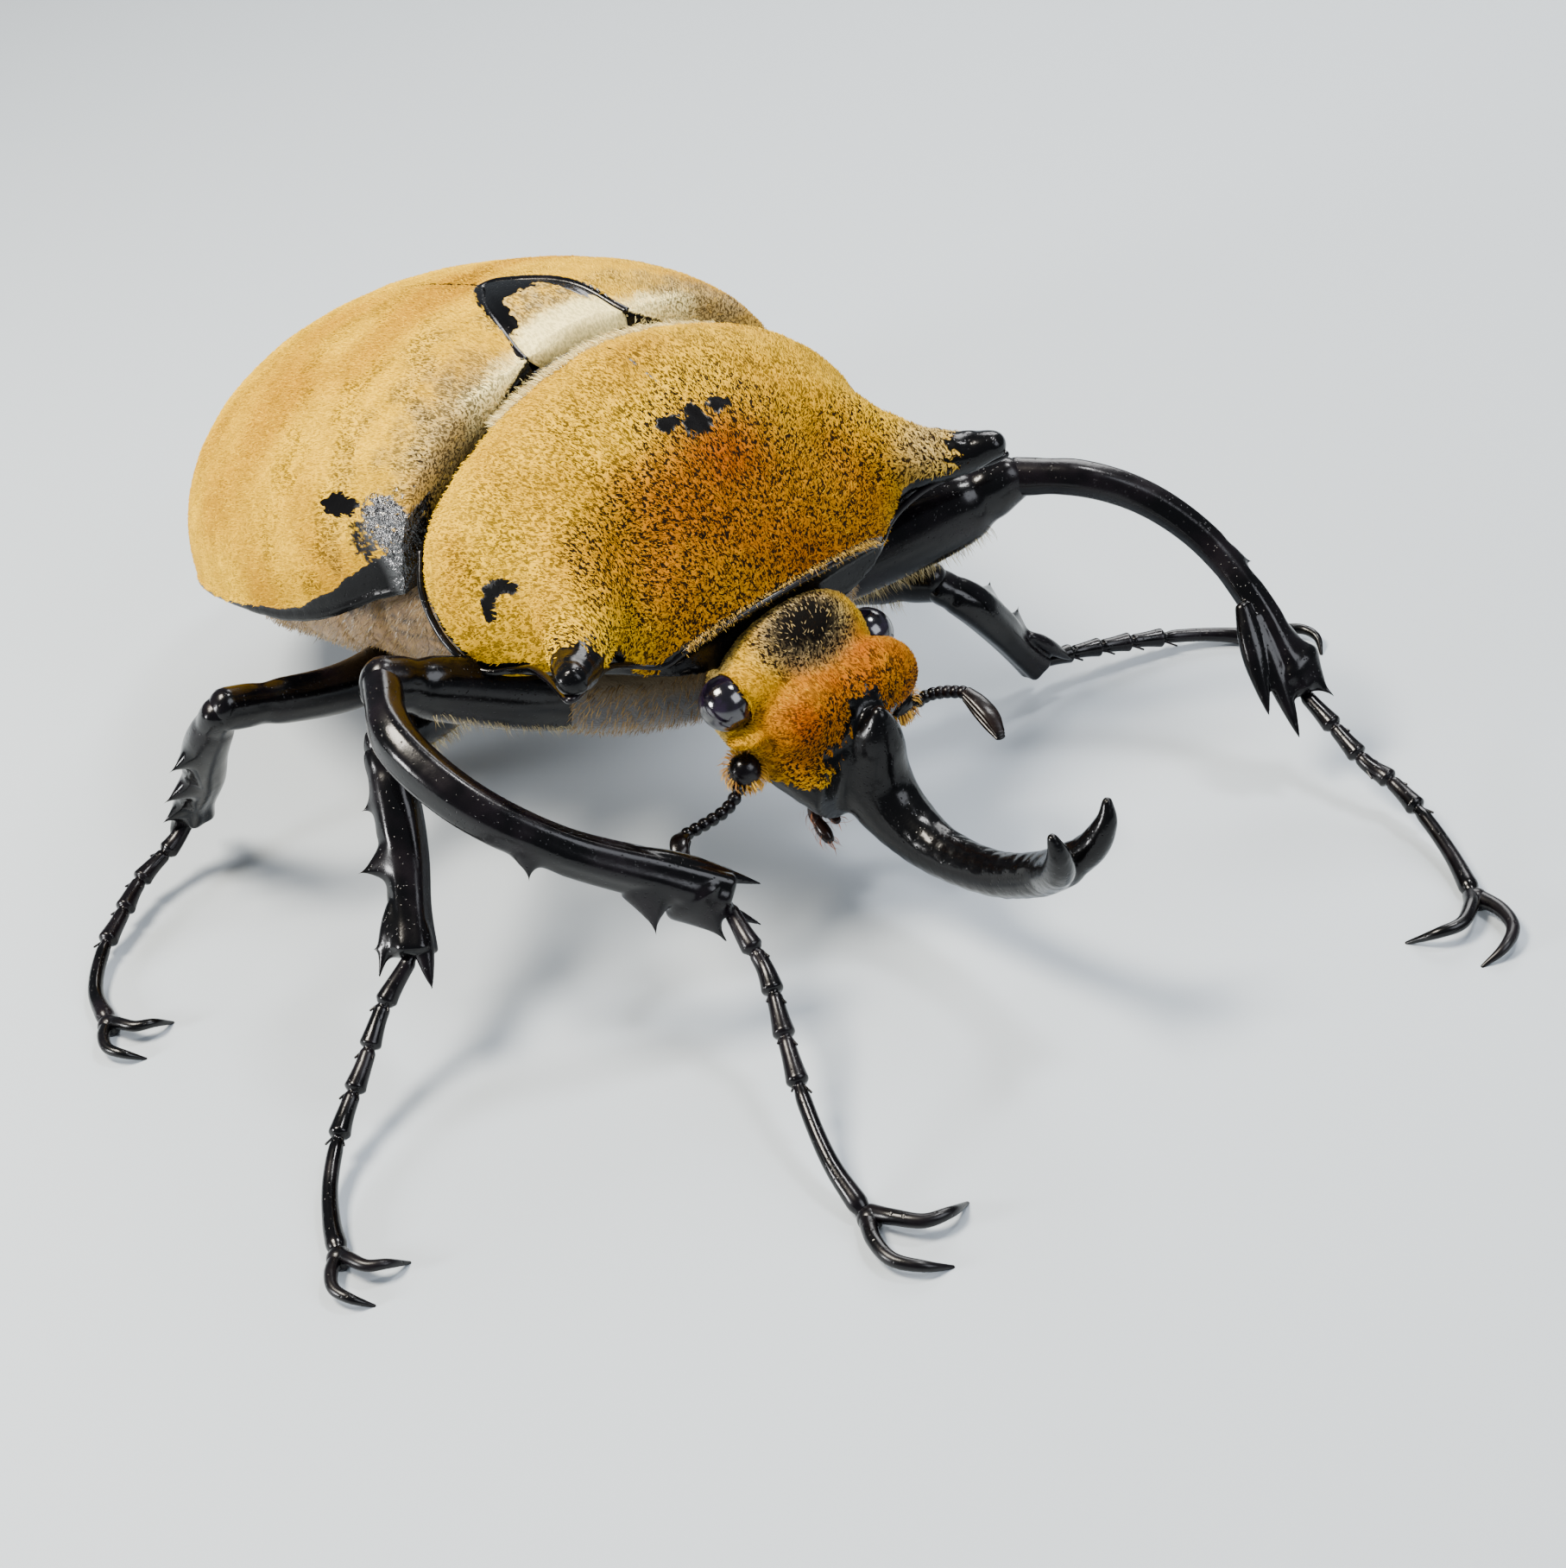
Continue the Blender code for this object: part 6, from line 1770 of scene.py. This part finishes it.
    def fringe(self, name: str, line: Points, out: Points, count: int, length: tuple,
               material: Finish, seed: int, spread: float) -> Piece:
        """Fine hairs along a line.

        Args:
            name: the piece's name.
            line: points of the line.
            out: direction of the hairs at each point.
            count: number of hairs.
            length: least and most in millimetres.
            material: of the hairs.
            seed: seed of the scatter.
            spread: scatter of their directions.

        Returns:
            Joined blades of five points.
        """
        rng = np.random.default_rng(seed)
        where = rng.random(count) * (len(line) - 1)
        index = where.astype(int)
        share = (where - index)[:, None]
        root = line[index] * (1 - share) + line[np.minimum(index + 1, len(line) - 1)] * share
        root += rng.normal(scale=self.jitter, size=root.shape)
        way = out[index] + rng.normal(scale=spread, size=root.shape)
        way /= norm(way, axis=1)[:, None]
        size = rng.uniform(*length, count)[:, None]
        across = np.cross(way, rng.normal(size=root.shape))
        across /= norm(across, axis=1)[:, None]
        width = rng.uniform(*self.thin, count)[:, None] / 2
        sag = rng.normal(scale=self.sag, size=root.shape) * size
        middle = root + way * size * 0.5 + sag * 0.6
        tip = root + way * size + sag * 0.2
        half = across * width
        five = np.stack([root - half, root + half, middle + half * 0.8, middle - half * 0.8, tip], axis=1)
        spot = np.stack([0.02 + 0.96 * where / max(len(line) - 1, 1), rng.uniform(0.1, 0.9, count)], axis=1)
        made = make_blades(name, five, spot, {"tone": rng.random(count)})
        dress(made, material)
        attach(made, "root")
        return made


@dataclass
class Studio:
    """Camera of the photograph, pale floor and soft lights."""

    azimuth: float = -35.42
    elevation: float = 35.51
    roll: float = -9.05
    position: tuple = (-108.7, -170.8, 96.9)
    focal_px: float = 3116.42
    wide_px: float = 1816.0
    sensor: float = 36.0
    floor_colour: str = "#A9B1B8"
    floor_half_m: float = 3.0
    surround: str = "#B4BDC6"
    surround_strength: float = 0.42
    lights: tuple = (("key", (-150, 70, 320), (0, 0, -15), 120, 4.3, "#FFF6E6"),
                     ("overhead", (150, -60, 330), (0, -10, -20), 60, 1.0, "#FFFFFF"),
                     ("side", (-330, 75, 65), (-15, 2, -12), 70, 1.6, "#FFFFFF"),
                     ("fill", (120, -380, 260), (0, -10, -20), 260, 1.6, "#F2F6FF"),
                     ("rim", (300, 160, 220), (0, 0, -15), 200, 1.6, "#FFFFFF"))

    def camera(self) -> None:
        """Sets the camera from its angles and position."""
        a, e, r = (math.radians(v) for v in (self.azimuth, self.elevation, self.roll))
        back = Vector((math.sin(a) * math.cos(e), -math.cos(a) * math.cos(e), math.sin(e)))
        right = Vector((0, 0, 1)).cross(back).normalized()
        up = back.cross(right)
        x_axis = right * math.cos(r) + up * math.sin(r)
        y_axis = up * math.cos(r) - right * math.sin(r)
        matrix = Matrix((x_axis, y_axis, back)).transposed().to_4x4()
        matrix.translation = Vector(place(np.array(self.position)))
        data = bpy.data.cameras.new("lens")
        data.sensor_width = self.sensor
        data.lens = self.focal_px / self.wide_px * self.sensor
        data.clip_start = 0.01
        data.clip_end = 20
        camera = bpy.data.objects.new("camera", data)
        camera.matrix_world = matrix
        bpy.context.scene.collection.objects.link(camera)
        bpy.context.scene.camera = camera

    def floor(self) -> None:
        """A wide pale sheet under the feet."""
        data = bpy.data.meshes.new("floor")
        half = self.floor_half_m
        data.from_pydata([(-half, -half, 0), (half, -half, 0), (half, half, 0), (-half, half, 0)], [],
                         [(0, 1, 2, 3)])
        made = bpy.data.objects.new("floor", data)
        bpy.context.scene.collection.objects.link(made)
        net = Net("pale_floor")
        grain = net.noise(6.0, 3)
        dress(made, net.close(net.surface({"Base Color": linear(self.floor_colour), "Roughness": 0.75,
                                           "Normal": net.bump(grain, 0.02, 0.2)})))

    def light(self, name: str, spot: tuple, target: tuple, size: float, power: float, colour: str) -> None:
        """A square soft light aimed at a target, all in millimetres but its power in watts."""
        data = bpy.data.lights.new(name, "AREA")
        data.size = size * MM
        data.energy = power
        data.color = linear(colour)[:3]
        made = bpy.data.objects.new(name, data)
        made.location = place(np.array(spot))
        way = Vector(place(np.array(target))) - made.location
        made.rotation_euler = way.to_track_quat("-Z", "Y").to_euler()
        bpy.context.scene.collection.objects.link(made)

    def build(self) -> None:
        """Camera, floor, lights and the grey surround."""
        self.camera()
        self.floor()
        for light in self.lights:
            self.light(*light)
        world = bpy.data.worlds.new("surround")
        world.use_nodes = True
        shade = world.node_tree.nodes["Background"]
        shade.inputs["Color"].default_value = linear(self.surround)
        shade.inputs["Strength"].default_value = self.surround_strength
        bpy.context.scene.world = world


def report(made: Piece) -> None:
    """Logs a piece and its triangles."""
    triangles = sum(len(face.vertices) - 2 for face in made.data.polygons)
    LOG.info("%s: %d triangles", made.name, triangles)


def finish_piece(made: Piece, material: Finish) -> None:
    """Dresses a piece and logs it."""
    dress(made, material)
    report(made)


def main() -> None:
    """Builds, dresses and lights the beetle."""
    logging.basicConfig(level=logging.INFO, format="%(message)s")
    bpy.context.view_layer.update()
    elytra, pronotum, head, face = Elytra(), Pronotum(), Head(), Face()
    scutellum, velvet, hairs = Scutellum(elytra), Velvet(), Hairs(pronotum)
    shell_black = Polished().build("polished_shell")
    horn_black = Polished(roughness=0.24, pit_mm=0.7).build("horn_shell")
    under = Underside().build("downy_underside")

    cases = elytra.build()
    shield = scutellum.build()
    fore_shield = pronotum.build()
    capsule = head.build()
    for piece in (*cases, shield, fore_shield, capsule):
        finish_piece(piece, velvet.skin(f"{piece.name}_velvet"))
    for piece in (scutellum.border(), pronotum.bead()):
        finish_piece(piece, shell_black)
    eye_glaze = Eye().build("eye_glaze")
    for piece in face.eyes():
        finish_piece(piece, eye_glaze)
    mouth = face.mouth()
    finish_piece(mouth, Polished("#140C0A", "#2E1A12").build("mouth_shell"))
    club_black = Polished("#050303", "#120806", roughness=0.2, pit_mm=0.2).build("club_shell")
    feelers = face.feelers()
    for piece in feelers:
        finish_piece(piece, club_black if piece.name.startswith("club") else shell_black)
    bodies = Trunk().build()
    for piece in bodies:
        finish_piece(piece, under)
    for leg in LEGS:
        for part, piece in leg.build().items():
            finish_piece(piece, horn_black if part == "claws" else shell_black)

    for side, case in zip(Side, cases):
        report(hairs.on_shield(case, f"wing_case_{side.word}_nap", elytra.marks, density=20.0,
                               length=(0.4, 0.75), seed=101 + side.value))
    report(hairs.on_shield(fore_shield, "fore_shield_nap", pronotum.marks, density=22.0,
                           length=(0.35, 0.65), seed=111))
    report(hairs.on_shield(capsule, "head_nap", head.marks, density=30.0, length=(0.3, 0.5), seed=121,
                           above=-0.6))
    for coat in (hairs.collar(), hairs.lip(), *(hairs.thigh(leg) for leg in LEGS), *hairs.breast(bodies),
                 *hairs.fans(face, feelers[::2]), hairs.muzzle(mouth)):
        report(coat)
    Studio().build()


if __name__ == "__main__":
    main()
